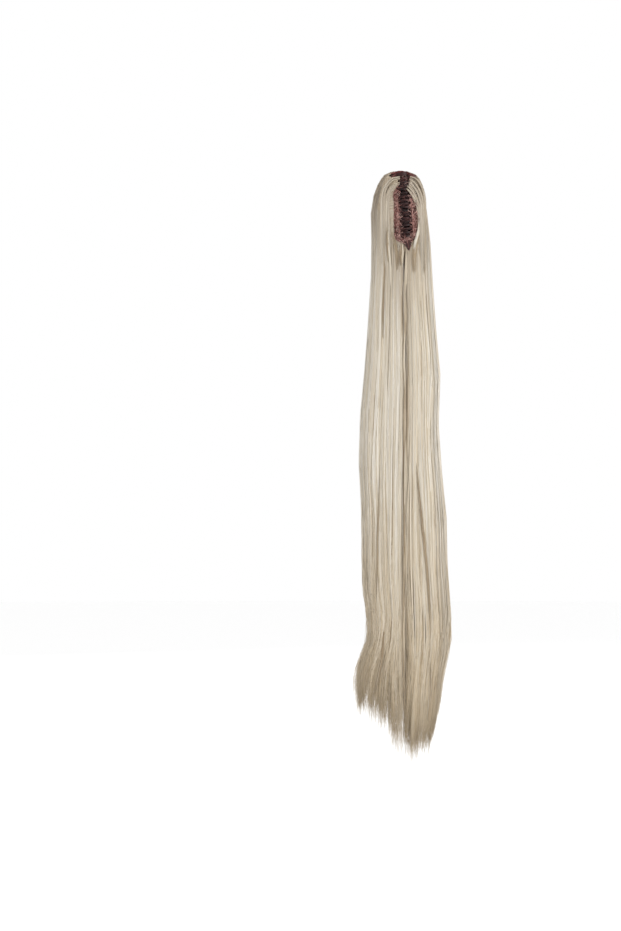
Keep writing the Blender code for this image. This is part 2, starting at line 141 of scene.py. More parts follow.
# %% Flow of the hair and the line of its tips
HOLD_HEIGHT = -0.625
TIP_FLATNESS = 0.45
WAIST_HEIGHT = -0.553
WAIST_SPAN = 0.028
WAIST_DEPTH = 0.0085
DRAW_START = -0.570
DRAW_IN = 0.0150
held = levels > HOLD_HEIGHT
hold_row = sides[np.argmax(held)]
flow_sides = np.where(held[:, None], sides, hold_row)
depth_share = np.clip((levels - hair_bottom) / (HOLD_HEIGHT - hair_bottom), 0.0, 1.0)
for column in (2, 3):
    middle = hold_row[2:].mean()
    reach = (hold_row[column] - middle) * (TIP_FLATNESS + (1.0 - TIP_FLATNESS) * depth_share)
    flow_sides[:, column] = np.where(held, sides[:, column], middle + reach)
flow_sides[:, 0] += WAIST_DEPTH * np.exp(-(((levels - WAIST_HEIGHT) / WAIST_SPAN) ** 2))
drawn = np.clip((DRAW_START - levels) / (DRAW_START - hair_bottom), 0.0, 1.0)
flow_sides[:, 1] -= DRAW_IN * drawn**1.2

# The hair's lower outline: places across and the heights at which the longest hairs end.
TIP_LINE = np.array(
    [
        (-0.0640, -0.636),
        (-0.0595, -0.642),
        (-0.0480, -0.650),
        (-0.0365, -0.660),
        (-0.0240, -0.671),
        (-0.0190, -0.680),
        (-0.0150, -0.692),
        (-0.0010, -0.702),
        (0.0180, -0.7027),
        (0.0350, -0.690),
        (0.0385, -0.676),
        (0.0430, -0.660),
        (0.0500, -0.640),
    ]
)


def side_at(column, height):
    return np.interp(height, levels, flow_sides[:, column])


print("lowest tip", round(float(TIP_LINE[:, 1].min()), 4), "of", round(float(hair_bottom), 4))

# %% [markdown]
# A strand follows a lane down the hair. A lane is an angle round the hair, where zero is
# the parting on the head side, and a share of the way out from the middle. The section of
# the hair is a rounded oblong, so sines and cosines are raised to a power below one.

# %% Lanes
PARTING_X = 0.0002
PARTING_WANDER = 0.0014
PARTING_WAVES = 19.0
PARTING_HALF = 0.0040
PARTING_TOP = -0.047
PARTING_BOTTOM = -0.330
PARTING_DEPTH = 0.0052
PARTING_LEAST = 0.0024
SQUARENESS = 0.86


def parting_at(height):
    return PARTING_X + PARTING_WANDER * np.sin(PARTING_WAVES * height)


def across_share(angle):
    sine = np.sin(angle)
    return np.sign(sine) * np.abs(sine) ** SQUARENESS


def lane_point(angle, out, height):
    """Point on a lane; the three arguments are arrays of one shape."""
    left, right = side_at(0, height), side_at(1, height)
    near, far = side_at(2, height), side_at(3, height)
    parting = parting_at(height)
    cosine = np.cos(angle)
    across = across_share(angle)
    along = -np.sign(cosine) * np.abs(cosine) ** SQUARENESS
    reach = np.where(across >= 0.0, right - parting, parting - left)
    x = parting + across * reach * out
    y = (near + far) / 2.0 + along * (far - near) / 2.0 * out
    fade = np.clip((height - PARTING_BOTTOM) / (PARTING_TOP - PARTING_BOTTOM), 0.0, 1.0)
    depth = PARTING_LEAST + (PARTING_DEPTH - PARTING_LEAST) * fade
    depth = np.where(height > PARTING_TOP, 0.0, depth)
    groove = np.exp(-(((x - parting) / PARTING_HALF) ** 2)) * (cosine > 0.0)
    return x, y + depth * groove


def front_at(x, height):
    """Depth of the hair's head side at a place across and a height."""
    near, far = side_at(2, height), side_at(3, height)
    parting = parting_at(height)
    reach = np.where(x >= parting, side_at(1, height) - parting, parting - side_at(0, height))
    across = np.clip(np.abs(x - parting) / reach, 0.0, 0.999)
    cosine = np.sqrt(1.0 - across ** (2.0 / SQUARENESS))
    return (near + far) / 2.0 - cosine**SQUARENESS * (far - near) / 2.0


# %% [markdown]
# A strand could be a curve object, but thousands of those are slow and hard to export.
# Each is a thin three-sided tube instead, laid straight into the arrays of one mesh. The
# rings of a tube lie closer together near the root, where hair bends most. A UV map holds
# the strand's own shade across and its length up, and the material paints by that alone.

# %% Tubes from arrays
TUBE_SIDES = 3
UV_NAME = "OFBake"
SHADE_WIDTH = 0.005


def tubes(name, paths, radii, shades, lengths, material):
    """One mesh of closed tubes. paths is strands x rings x 3, the rest strands x rings."""
    count, rings, _ = paths.shape
    along = np.gradient(paths, axis=1)
    along /= np.linalg.norm(along, axis=2, keepdims=True)
    aside = np.cross(along, np.array([0.3, 1.0, 0.1]))
    aside /= np.linalg.norm(aside, axis=2, keepdims=True)
    third = np.cross(along, aside)
    turn = 2.0 * np.pi * np.arange(TUBE_SIDES) / TUBE_SIDES
    rim = aside[:, :, None] * np.cos(turn)[:, None] + third[:, :, None] * np.sin(turn)[:, None]
    points = (paths[:, :, None] + rim * radii[:, :, None, None]).reshape(-1, 3)

    base = np.arange(count)[:, None, None] * rings * TUBE_SIDES
    ring = np.arange(rings - 1)[None, :, None] * TUBE_SIDES
    side = np.arange(TUBE_SIDES)[None, None, :]
    after = (side + 1) % TUBE_SIDES
    corners = (base + ring + side, base + ring + after)
    quads = np.stack([*corners, corners[1] + TUBE_SIDES, corners[0] + TUBE_SIDES], axis=3)
    quads = quads.reshape(-1, 4)
    first = base[:, :, 0] + np.arange(TUBE_SIDES)[None, ::-1]
    last = base[:, :, 0] + (rings - 1) * TUBE_SIDES + np.arange(TUBE_SIDES)[None]
    caps = np.concatenate([first, last])

    mesh = bpy.data.meshes.new(name)
    mesh.vertices.add(len(points))
    mesh.vertices.foreach_set("co", points.ravel())
    loops = np.concatenate([quads.ravel(), caps.ravel()])
    mesh.loops.add(len(loops))
    mesh.loops.foreach_set("vertex_index", loops)
    sizes = np.concatenate([np.full(len(quads), 4), np.full(len(caps), TUBE_SIDES)])
    mesh.polygons.add(len(sizes))
    mesh.polygons.foreach_set("loop_start", np.concatenate([[0], np.cumsum(sizes)[:-1]]))
    mesh.polygons.foreach_set("loop_total", sizes)
    mesh.update(calc_edges=True)

    length = np.broadcast_to(lengths, (count, rings))
    spread = np.linspace(0.0, SHADE_WIDTH, TUBE_SIDES)
    u = np.broadcast_to((shades[:, None] + spread)[:, None], (count, rings, TUBE_SIDES))
    v = np.broadcast_to(length[:, :, None], (count, rings, TUBE_SIDES))
    v = v + np.linspace(0.0, 0.002, TUBE_SIDES)
    vertex_uv = np.stack([u.ravel(), v.ravel()], axis=1).clip(0.001, 0.999)
    layer = mesh.uv_layers.new(name=UV_NAME, do_init=False)
    layer.uv.foreach_set("vector", vertex_uv[loops].astype(np.float32).ravel())
    mesh.materials.append(material)
    mesh.shade_smooth()
    made = bpy.data.objects.new(name, mesh)
    scene.collection.objects.link(made)
    return made


# %% [markdown]
# Ash-blond hair is not one colour. Light cream, grey beige and darker taupe fibres are
# mixed, and the ends are a little warmer. The roots look a little darker, which is painted
# shade. The material reads only the strand's UV map: across it a ramp runs from dark to
# light fibres, and along it the painted root shade and the tip tint are mixed in.

# %% Hair material
HAIR_STOPS = (
    (0.00, screen(116, 98, 78)),
    (0.14, screen(164, 143, 114)),
    (0.27, screen(181, 169, 150)),
    (0.40, screen(211, 195, 169)),
    (0.53, screen(211, 203, 189)),
    (0.66, screen(224, 212, 190)),
    (0.80, screen(228, 222, 212)),
    (1.00, screen(243, 238, 228)),
)
# The root tint is painted shade; the tip tint makes the ends warmer.
ROOT_SHADE_TINT = screen(172, 158, 142)
TIP_TINT = screen(224, 213, 195)
TIP_START = 0.55


def hair_material(name, root_shade_share, root_shade_end):
    """Hair with painted root shade of a given strength, fading out at a given share of the length.
    """
    made, tree, shader = principled(name, Roughness=0.45, IOR=1.5)
    uv = tree.nodes.new("ShaderNodeUVMap")
    uv.uv_map = UV_NAME
    parts = tree.nodes.new("ShaderNodeSeparateXYZ")
    tree.links.new(uv.outputs["UV"], parts.inputs["Vector"])
    fibre = ramp(tree, HAIR_STOPS)
    tree.links.new(parts.outputs["X"], fibre.inputs["Fac"])
    root = tree.nodes.new("ShaderNodeMapRange")
    root.interpolation_type = "SMOOTHSTEP"
    root.inputs["From Max"].default_value = root_shade_end
    root.inputs["To Min"].default_value = root_shade_share
    root.inputs["To Max"].default_value = 0.0
    tree.links.new(parts.outputs["Y"], root.inputs["Value"])
    tip = tree.nodes.new("ShaderNodeMapRange")
    tip.inputs["From Min"].default_value = TIP_START
    tree.links.new(parts.outputs["Y"], tip.inputs["Value"])
    colour = fibre.outputs["Color"]
    for share, tint in ((root, ROOT_SHADE_TINT), (tip, TIP_TINT)):
        mix = tree.nodes.new("ShaderNodeMix")
        mix.data_type = "RGBA"
        mix.blend_type = "MULTIPLY"
        mix.inputs["B"].default_value = tint
        tree.links.new(share.outputs["Result"], mix.inputs["Factor"])
        tree.links.new(colour, mix.inputs["A"])
        colour = mix.outputs["Result"]
    tree.links.new(colour, shader.inputs["Base Color"])
    return made


# The crown's roots get more painted shade than the band's.
crown_hair = hair_material("crown_hair", 0.66, 0.25)
band_hair = hair_material("band_hair", 0.55, 0.24)

# %% [markdown]
# Hair falls in locks. Each lock has a lane of its own, and its strands lie round that
# lane in wisps, wave together and draw together at the tip. Locks on the far side and the
# sides start at the crown. Those on the head side leave the net beside the teeth, run
# outwards like a fountain and then fall. Seeded draws give each strand its numbers.

# %% Strand numbers
WISP_SIZE = 6
LOCKS_A_SIDE = 34
WISPS_A_LOCK = 7
LOCK_OUTS = (0.985, 0.98, 0.97, 0.955, 0.935)
LOCK_HALF_ANGLES = (0.045, 0.115)
STRAND_ASIDE = 0.11
LOCK_RIDGE = 0.036
WISP_DEPTH = 0.018
STRAND_DEPTH = 0.008
SHADE_RANGE = (0.02, 0.98)
MEAN_SHADE = 0.58
LOCK_TONE = 0.08
WISP_TONE = 0.115
STRAND_TONE = 0.13
LOCK_SWAY = 0.022
LOCK_CURL = 0.040
WISP_SWAY = 0.014
LOCK_SHIFT = 0.075
SHIFT_STARTS = (0.10, 0.65)
FRINGE_SPREAD = 0.035
LOCK_RISE = 0.0022
LOCK_SHORT = 0.003
TIP_MEAN = 0.0190
TIP_FEATHER = 0.0125
TIP_LEAST = -0.0120
CUT_SHARE = 0.32
CUT_LENGTH = 0.020


def strand_set(lock_lanes, wisps_per_lock, outs, seed, wisp_size=WISP_SIZE):
    """Lane, depth, shade and waves of the strands of some locks of wisps, as arrays."""
    draw = np.random.default_rng(seed)
    locks = len(lock_lanes)
    wisps = locks * wisps_per_lock
    total = wisps * wisp_size

    def of_lock(values):
        return np.repeat(values, wisps_per_lock * wisp_size)

    def of_wisp(values):
        return np.repeat(values, wisp_size)

    aside = of_wisp((0.5 * draw.standard_normal(wisps)).clip(-1.2, 1.2))
    width = of_lock(draw.uniform(*LOCK_HALF_ANGLES, locks))
    lock_shade = of_lock(draw.normal(0.0, LOCK_TONE, locks))
    shade = lock_shade + of_wisp(draw.normal(0.0, WISP_TONE, wisps))
    cut_short = draw.random(total) < CUT_SHARE
    return {
        "draw": draw,
        "count": total,
        "lane": of_lock(lock_lanes),
        "aside": (aside + draw.normal(0.0, STRAND_ASIDE, total)) * width,
        "out": of_lock(draw.choice(outs, locks)),
        "inward": -LOCK_RIDGE * aside**2
        - of_wisp(np.abs(draw.normal(0.0, WISP_DEPTH, wisps)))
        - np.abs(draw.normal(0.0, STRAND_DEPTH, total)),
        "shade": (MEAN_SHADE + shade + draw.normal(0.0, STRAND_TONE, total)).clip(*SHADE_RANGE),
        "wave": of_lock(draw.uniform(0.0, 2.0 * np.pi, locks)),
        "sway": of_lock(draw.normal(0.0, LOCK_SWAY, locks)),
        "curl": of_lock(draw.normal(0.0, LOCK_CURL, locks)),
        "wisp_wave": of_wisp(draw.uniform(0.0, 2.0 * np.pi, wisps)),
        "wisp_sway": of_wisp(draw.normal(0.0, WISP_SWAY, wisps)),
        "shift": of_lock(draw.normal(0.0, LOCK_SHIFT, locks)),
        "shift_start": of_lock(draw.uniform(*SHIFT_STARTS, locks)),
        "fringe": draw.normal(0.0, FRINGE_SPREAD, total),
        "rise": of_lock(draw.uniform(0.0, LOCK_RISE, locks)),
        "short": of_lock(draw.normal(0.0, LOCK_SHORT, locks))
        + np.maximum(draw.normal(TIP_MEAN, TIP_FEATHER, total), TIP_LEAST)
        + cut_short * draw.exponential(CUT_LENGTH, total),
    }


print("strands in one group", LOCKS_A_SIDE * WISPS_A_LOCK * WISP_SIZE)

# %% [markdown]
# A strand doesn't keep to its lane. Locks sway and curl, wisps wave, and each lock shifts
# a little aside on its way down. Low down the near side spreads outwards and the far side
# swings one way and sweeps the other, and at the very tip the strands spread a little.

# %% Lanes that wander
SWAY_TURN = 7.0
CURL_TURN = 15.0
WISP_TURN = 12.0
CURL_START = 0.45
CURL_SPAN = 0.3
SHIFT_SPAN = 0.30
GATHER = 0.25
GATHER_START = 0.80
FRINGE_START = 0.78
SWEEP_START = -0.490
SWEEP_END = -0.650
SWEEP_FAR = 0.40
SWEEP_LEFT = -0.13
SWEEP_RIGHT = 0.05
SWING_HEIGHT = -0.515
SWING_SPAN = 0.055
SWING_FAR = -0.16


def smooth(value):
    """Smooth step from 0 to 1."""
    value = np.clip(value, 0.0, 1.0)
    return value * value * (3.0 - 2.0 * value)


def strand_lanes(strands, share, height):
    """Angle and share out of every strand at each ring."""
    gather = 1.0 - GATHER * np.clip((share - GATHER_START) / (1.0 - GATHER_START), 0.0, 1.0)
    wave = np.sin(strands["wave"][:, None] + SWAY_TURN * share) * (0.3 + share)
    curl = np.sin(strands["wave"][:, None] * 3.0 + CURL_TURN * share)
    curl = curl * smooth((share - CURL_START) / CURL_SPAN)
    wisp_wave = np.sin(strands["wisp_wave"][:, None] + WISP_TURN * share) * (0.35 + share)
    lane = strands["lane"][:, None] + strands["aside"][:, None] * gather
    lane = lane + strands["sway"][:, None] * wave + strands["curl"][:, None] * curl
    lane = lane + strands["wisp_sway"][:, None] * wisp_wave
    moved = smooth((share - strands["shift_start"][:, None]) / SHIFT_SPAN)
    lane = lane + strands["shift"][:, None] * moved
    sweep = smooth((SWEEP_START - height) / (SWEEP_START - SWEEP_END))
    across = across_share(lane)
    near = SWEEP_RIGHT + (SWEEP_LEFT - SWEEP_RIGHT) * smooth(0.3 - 1.5 * across)
    swing = SWING_FAR * np.exp(-(((height - SWING_HEIGHT) / SWING_SPAN) ** 2))
    cosine = np.cos(lane)
    lane = lane + cosine * np.where(cosine > 0.0, sweep * near, sweep * SWEEP_FAR + swing)
    spread = smooth((share - FRINGE_START) / (1.0 - FRINGE_START))
    lane = lane + strands["fringe"][:, None] * spread
    out = strands["out"][:, None] + strands["inward"][:, None]
    return lane, np.broadcast_to(out, lane.shape)


# %% [markdown]
# A strand ends near the line of the tips, at the place across that its lane has come to.
# It keeps its thickness for most of the way and then thins out to a fine point. The rings
# of a tube are given as shares of its length.

# %% Ends and thickness of the strands
END_HEIGHT = -0.655
STRAND_RADIUS = 0.00027
TIP_RADIUS_SHARE = 0.12
TAPER_START = 0.84
RINGS = np.array(
    [0, 0.004, 0.012, 0.025, 0.045, 0.08, 0.13, 0.2, 0.29]
    + [0.38, 0.47, 0.56, 0.65, 0.73, 0.81, 0.88, 0.94, 1]
)
BAND_RINGS = np.insert(RINGS, 1, 0.001)


def tips_for(strands):
    """Height at which each strand ends, from the place that its lane has come to."""
    low = np.full((strands["count"], 1), END_HEIGHT)
    lane, out = strand_lanes(strands, np.ones((1, 1)), low)
    x, _ = lane_point(lane, out, low)
    return np.interp(x[:, 0], TIP_LINE[:, 0], TIP_LINE[:, 1]) + strands["short"]


def radii_for(strands, share):
    """Thickness of every strand at each ring."""
    size = STRAND_RADIUS * strands["draw"].uniform(0.6, 1.35, strands["count"])
    thinned = np.clip((share - TAPER_START) / (1.0 - TAPER_START), 0.0, 1.0)
    return size[:, None] * (1.0 - (1.0 - TIP_RADIUS_SHARE) * thinned)


# %% [markdown]
# The crown strands start close together on top and fan out over the dome, as on the far
# side of the real piece. Their rings are placed by height, and the lanes do the rest. On
# the far side they leave a small notch at the top, and on the flanks their colour is
# lightened as painted light.

# %% Crown strands
CROWN_LANE_START = math.radians(58.0)
CROWN_ROUGHNESS = 0.0006
CROWN_OUTS = (1.0, 0.995, 0.988, 0.98, 0.97)
NOTCH_X = 0.0050
NOTCH_HALF = 0.0016
NOTCH_DEPTH = 0.0028
NOTCH_FROM = -0.35
FLANK_PAINTED_LIGHT = 0.22


def crown_strands(name, lanes, wisps, seed, outs=CROWN_OUTS, wisp_size=WISP_SIZE):
    """A piece of strands that start on top and follow their lanes down."""
    strands = strand_set(lanes, wisps, outs, seed, wisp_size)
    share = RINGS[None]
    bottom = tips_for(strands)
    top = hair_top - CROWN_LEVEL - strands["rise"]
    top = top - np.abs(strands["draw"].normal(0.0, CROWN_ROUGHNESS, strands["count"]))
    start_x, _ = lane_point(strands["lane"], strands["out"], top - 0.001)
    on_far_side = np.cos(strands["lane"]) < NOTCH_FROM
    top = top - on_far_side * NOTCH_DEPTH * np.exp(-(((start_x - NOTCH_X) / NOTCH_HALF) ** 2))
    height = top[:, None] + (bottom - top)[:, None] * share
    lane, out = strand_lanes(strands, share, height)
    x, y = lane_point(lane, out, height)
    paths = np.stack([x, y, height], axis=2)
    radii = radii_for(strands, share)
    # Painted light: strands on the flanks are made lighter.
    flank = np.sin(strands["lane"]) ** 8
    shades = (strands["shade"] + FLANK_PAINTED_LIGHT * flank).clip(*SHADE_RANGE)
    made = tubes(name, paths, radii, shades, share, crown_hair)
    return finish_piece(made, "hair", "hair_tail")


crown_lanes = np.linspace(CROWN_LANE_START, math.pi, LOCKS_A_SIDE)
crown_strands("hair_crown_right", crown_lanes, WISPS_A_LOCK, 11)
crown_strands("hair_crown_left", -crown_lanes, WISPS_A_LOCK, 12)

# %% [markdown]
# The band strands start on the net, along the outline of the patch where the net and the
# teeth stay bare. The outline is a short table, lowest row first. A strand's place along
# it sets its lane: those from the lowest point hang next to the parting, and the topmost
# go furthest out. From its root a strand runs along a quarter of an ellipse, level at
# first and upright at the end, and it lies on the front of the hair.

# %% Root line round the bare patch
# The columns are the height, and the left and right places across, in metres.
ROOT_LINE = np.array(
    [
        (-0.0468, 0.0010, 0.0046),
        (-0.0448, -0.0068, 0.0100),
        (-0.0424, -0.0110, 0.0140),
        (-0.0370, -0.0132, 0.0164),
        (-0.0200, -0.0134, 0.0180),
        (-0.0060, -0.0134, 0.0176),
        (0.0070, -0.0136, 0.0142),
        (0.0140, -0.0142, 0.0110),
        (0.0190, -0.0138, 0.0064),
        (0.0250, -0.0100, 0.0034),
        (0.0300, -0.0062, 0.0038),
        (0.0385, -0.0060, 0.0066),
    ]
)
FALL_LEAST = 0.010
FALL_SHARE = 0.85
ROOT_RISE = 0.009
PACKED_BEHIND = 0.0004
NO_NET_DEPTH = -0.012
RAY_START = -0.1
LOOK_IN = Vector((0.0, 1.0, 0.0))


def ray_tree(node):
    """A tree of a solid's faces for shooting rays at it."""
    shape = bmesh.new()
    shape.from_mesh(node.data)
    made = BVHTree.FromBMesh(shape)
    shape.free()
    return made


net_rays = ray_tree(nodes["claw_net"])
hair_rays = ray_tree(hair_node)


def net_depth(x, height):
    """Depth of the net's outer face seen from the head side."""
    hit = net_rays.ray_cast(Vector((x, RAY_START, height)), LOOK_IN)[0]
    return hit.y if hit is not None else NO_NET_DEPTH


def skin_depth(x, height):
    """Depth of whatever is foremost at a place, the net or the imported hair."""
    hit = hair_rays.ray_cast(Vector((x, RAY_START, height)), LOOK_IN)[0]
    packed = hit.y + PACKED_BEHIND if hit is not None else 0.0
    return min(net_depth(x, height), packed)


def root_place(side, rank):
    """Place across and height of the root line at a rank from 0 to 1."""
    across = ROOT_LINE[:, 1 if side < 0 else 2]
    steps = np.hypot(np.diff(across), np.diff(ROOT_LINE[:, 0]))
    run = np.concatenate([[0.0], np.cumsum(steps)]) / steps.sum()
    return np.interp(rank, run, across), np.interp(rank, run, ROOT_LINE[:, 0])


# %% [markdown]
# Now the strands themselves. They pile up a little outside the outline, stay on their own
# side of the parting but for a few that cross it, and join the lanes below the clip. Near
# the parting they are darkened as painted shade in its groove. Some wisps near the top are
# painted dark, as painted shade in the gaps between the roots.

# %% Band strands
BAND_LANE_START = math.radians(4.5)
BAND_LANE_END = math.radians(84.0)
RANK_SPREAD = 0.035
ROOT_OFFSETS = (-0.0004, 0.0022)
ROOT_PROUD = 0.0002
FALL_RING = 7
OUT_DEPTH = 0.008
JOIN_START = -0.085
JOIN_SPAN = 0.05
PARTING_SHADE = 0.10
PARTING_SHADE_ANGLE = math.radians(12.0)
PARTING_CROSSING = 0.04
RIM_PILE = 0.0018
GAP_SHARE = 0.10
GAP_RANK = 0.45
GAP_SHADE = 0.30


def band_strands(name, side, lanes, wisps, seed):
    """A piece of strands that start on one side of the bare patch."""
    strands = strand_set(side * lanes, wisps, LOCK_OUTS, seed)
    draw, count = strands["draw"], strands["count"]
    share = BAND_RINGS[None]
    rank = (side * strands["lane"] - BAND_LANE_START) / (BAND_LANE_END - BAND_LANE_START)
    rank = (rank + draw.normal(0.0, RANK_SPREAD, count)).clip(0.0, 1.0)
    root_x, root = root_place(side, rank)
    root_x = root_x + side * draw.uniform(*ROOT_OFFSETS, count)
    root_y = np.array([skin_depth(x, z) for x, z in zip(root_x, root)]) - ROOT_PROUD
    bottom = tips_for(strands)
    height = root[:, None] + (bottom - root)[:, None] * share
    lane, out = strand_lanes(strands, share, height)
    crossing = PARTING_CROSSING * np.sin(strands["wisp_wave"])[:, None]
    lane = side * np.maximum(side * lane, crossing)
    lane_x, lane_y = lane_point(lane, out, height)
    fall = FALL_LEAST + FALL_SHARE * np.abs(lane_x[:, FALL_RING] - root_x)
    down = ((root[:, None] - height) / fall[:, None]).clip(0.0, 1.0)
    x = root_x[:, None] + (lane_x - root_x[:, None]) * np.sqrt(down * (2.0 - down))
    rim = side * np.interp(height, ROOT_LINE[:, 0], ROOT_LINE[:, 1 if side < 0 else 2])
    rim = rim + draw.uniform(0.0, RIM_PILE, count)[:, None]
    x = np.where(height > ROOT_LINE[0, 0], side * np.maximum(side * x, rim), x)
    front = front_at(x, height) + (1.0 - out) * OUT_DEPTH
    y = front + (lane_y - front) * smooth((JOIN_START - height) / JOIN_SPAN)
    gone = np.abs(x - root_x[:, None]) + root[:, None] - height
    y = root_y[:, None] + (y - root_y[:, None]) * smooth(gone / ROOT_RISE)
    paths = np.stack([x, y, height], axis=2)
    radii = radii_for(strands, share)
    # Strands by the parting are darkened: painted shade in its groove.
    parting_shade = PARTING_SHADE * np.exp(-((strands["lane"] / PARTING_SHADE_ANGLE) ** 2))
    wisps_of = count // WISP_SIZE
    # Some wisps near the top are darkened: painted shade in the gaps between roots.
    gaps = np.repeat(draw.random(wisps_of) < GAP_SHARE, WISP_SIZE) & (rank > GAP_RANK)
    shades = (strands["shade"] - parting_shade - GAP_SHADE * gaps).clip(*SHADE_RANGE)
    made = tubes(name, paths, radii, shades, share, band_hair)
    return finish_piece(made, "hair", "hair_tail")


band_lanes = np.linspace(BAND_LANE_START, BAND_LANE_END, LOCKS_A_SIDE)
band_strands("hair_band_right", 1, band_lanes, WISPS_A_LOCK, 21)
band_strands("hair_band_left", -1, band_lanes, WISPS_A_LOCK, 22)

# %% [markdown]
# At the top of the clip a few rope-like locks stand out. They start right at the teeth,
# arch outwards over the other roots and go under in the fall. Each has its start, the
# place across where it comes to hang, the height over which it gets there, how bowed its
# way is and the height of its lower end. Dark strands in the gap below each rope are a
# painted shadow, and the strands at a rope's edges are darkened as painted shade.

# %% Ropes at the top of the clip
# The columns are the start across and its height, the place of hanging, the height over
# which a rope gets there, its bow, and the height of its lower end.
ROPES = np.array(
    [
        (-0.0066, 0.0384, -0.0300, 0.030, 0.45, -0.060),
        (-0.0064, 0.0362, -0.0268, 0.026, 0.45, -0.075),
        (-0.0062, 0.0312, -0.0244, 0.026, 0.50, -0.065),
        (-0.0066, 0.0290, -0.0214, 0.022, 0.50, -0.080),
        (0.0066, 0.0386, 0.0256, 0.034, 0.50, -0.060),
        (0.0056, 0.0352, 0.0238, 0.040, 0.65, -0.075),
        (0.0048, 0.0312, 0.0214, 0.036, 0.70, -0.080),
        (0.0024, 0.0268, 0.0204, 0.040, 0.80, -0.085),
        (0.0016, 0.0236, 0.0186, 0.038, 0.85, -0.070),
    ]
)
ROPE_STRANDS = 24
ROPE_SHADOW_STRANDS = 7
ROPE_RINGS = 15
ROPE_HALF = 0.0013
ROPE_STAND = 0.0013
ROPE_SINK = 0.0010
ROPE_FOOT_SPREAD = 0.008
ROPE_SHADE = 0.66
ROPE_EDGE = 0.85
ROPE_EDGE_SHADE = 0.30
ROPE_SIZES = (0.00018, 0.00032)
SHADOW_FOOT_SHARE = 0.4
TEETH_FRONT = -0.0172


def rope_paths(rope, aside, draw):
    """Paths of one rope's strands; aside is each strand's place across the rope."""
    start_x, start_z, hang_x, fall, bow, foot = rope
    count = len(aside)
    run = np.linspace(0.0, 1.0, ROPE_RINGS)[None] ** 1.5
    start = start_z + 0.6 * ROPE_HALF * aside[:, None]
    foot = foot + draw.normal(0.0, ROPE_FOOT_SPREAD, (count, 1))
    height = start + (foot - start) * run
    hang = hang_x + np.sign(hang_x) * ROPE_HALF * aside[:, None] * (1.0 + 0.8 * run)
    down = ((start - height) / (fall * draw.uniform(0.92, 1.08, (count, 1)))).clip(0.0, 1.0)
    x = start_x + (hang - start_x) * (down * (2.0 - down)) ** bow
    skin = np.array([[min(skin_depth(a, b), TEETH_FRONT) for a, b in zip(x[:, 0], start[:, 0])]])
    away = smooth((np.abs(x - start_x) + start - height) / ROOT_RISE)
    y = skin.T + (np.minimum(front_at(x, height), TEETH_FRONT) - skin.T) * away
    stand = ROPE_STAND * (1.15 - aside[:, None] ** 2) * smooth(away * 3.0)
    y = y - stand * (1.0 - smooth((run - 0.35) / 0.5)) + ROPE_SINK * smooth((run - 0.55) / 0.4)
    return np.stack([x, y, height], axis=2)


rope_draw = np.random.default_rng(81)
rope_sets, rope_shades = [], []
for rope in ROPES:
    aside = rope_draw.uniform(-1.0, 1.0, ROPE_STRANDS)
    rope_sets.append(rope_paths(rope, aside, rope_draw))
    # A rope's edge strands are darkened: painted shade between the ropes.
    tone = rope_draw.normal(ROPE_SHADE, 0.06) - ROPE_EDGE_SHADE * (np.abs(aside) > ROPE_EDGE)
    rope_shades.append(tone + rope_draw.normal(0.0, 0.12, ROPE_STRANDS))
    # Dark strands under the rope: a painted shadow.
    aside = rope_draw.normal(-1.5, 0.25, ROPE_SHADOW_STRANDS)
    gap_row = np.append(rope[:-1], rope[-1] * SHADOW_FOOT_SHARE)
    gap = rope_paths(gap_row, aside, rope_draw)
    gap[:, :, 1] += ROPE_STAND
    rope_sets.append(gap)
    rope_shades.append(rope_draw.uniform(0.0, 0.08, ROPE_SHADOW_STRANDS))
rope_all = np.concatenate(rope_sets)
rope_run = np.linspace(0.0, 1.0, ROPE_RINGS)[None]
rope_sizes = rope_draw.uniform(*ROPE_SIZES, (len(rope_all), 1))
rope_radii = rope_sizes * (1.1 - 0.7 * rope_run**3)
rope_tones = np.concatenate(rope_shades).clip(*SHADE_RANGE)
rope_piece = tubes("hair_ropes", rope_all, rope_radii, rope_tones, 0.12 * rope_run, band_hair)
finish_piece(rope_piece, "hair", "hair_tail")
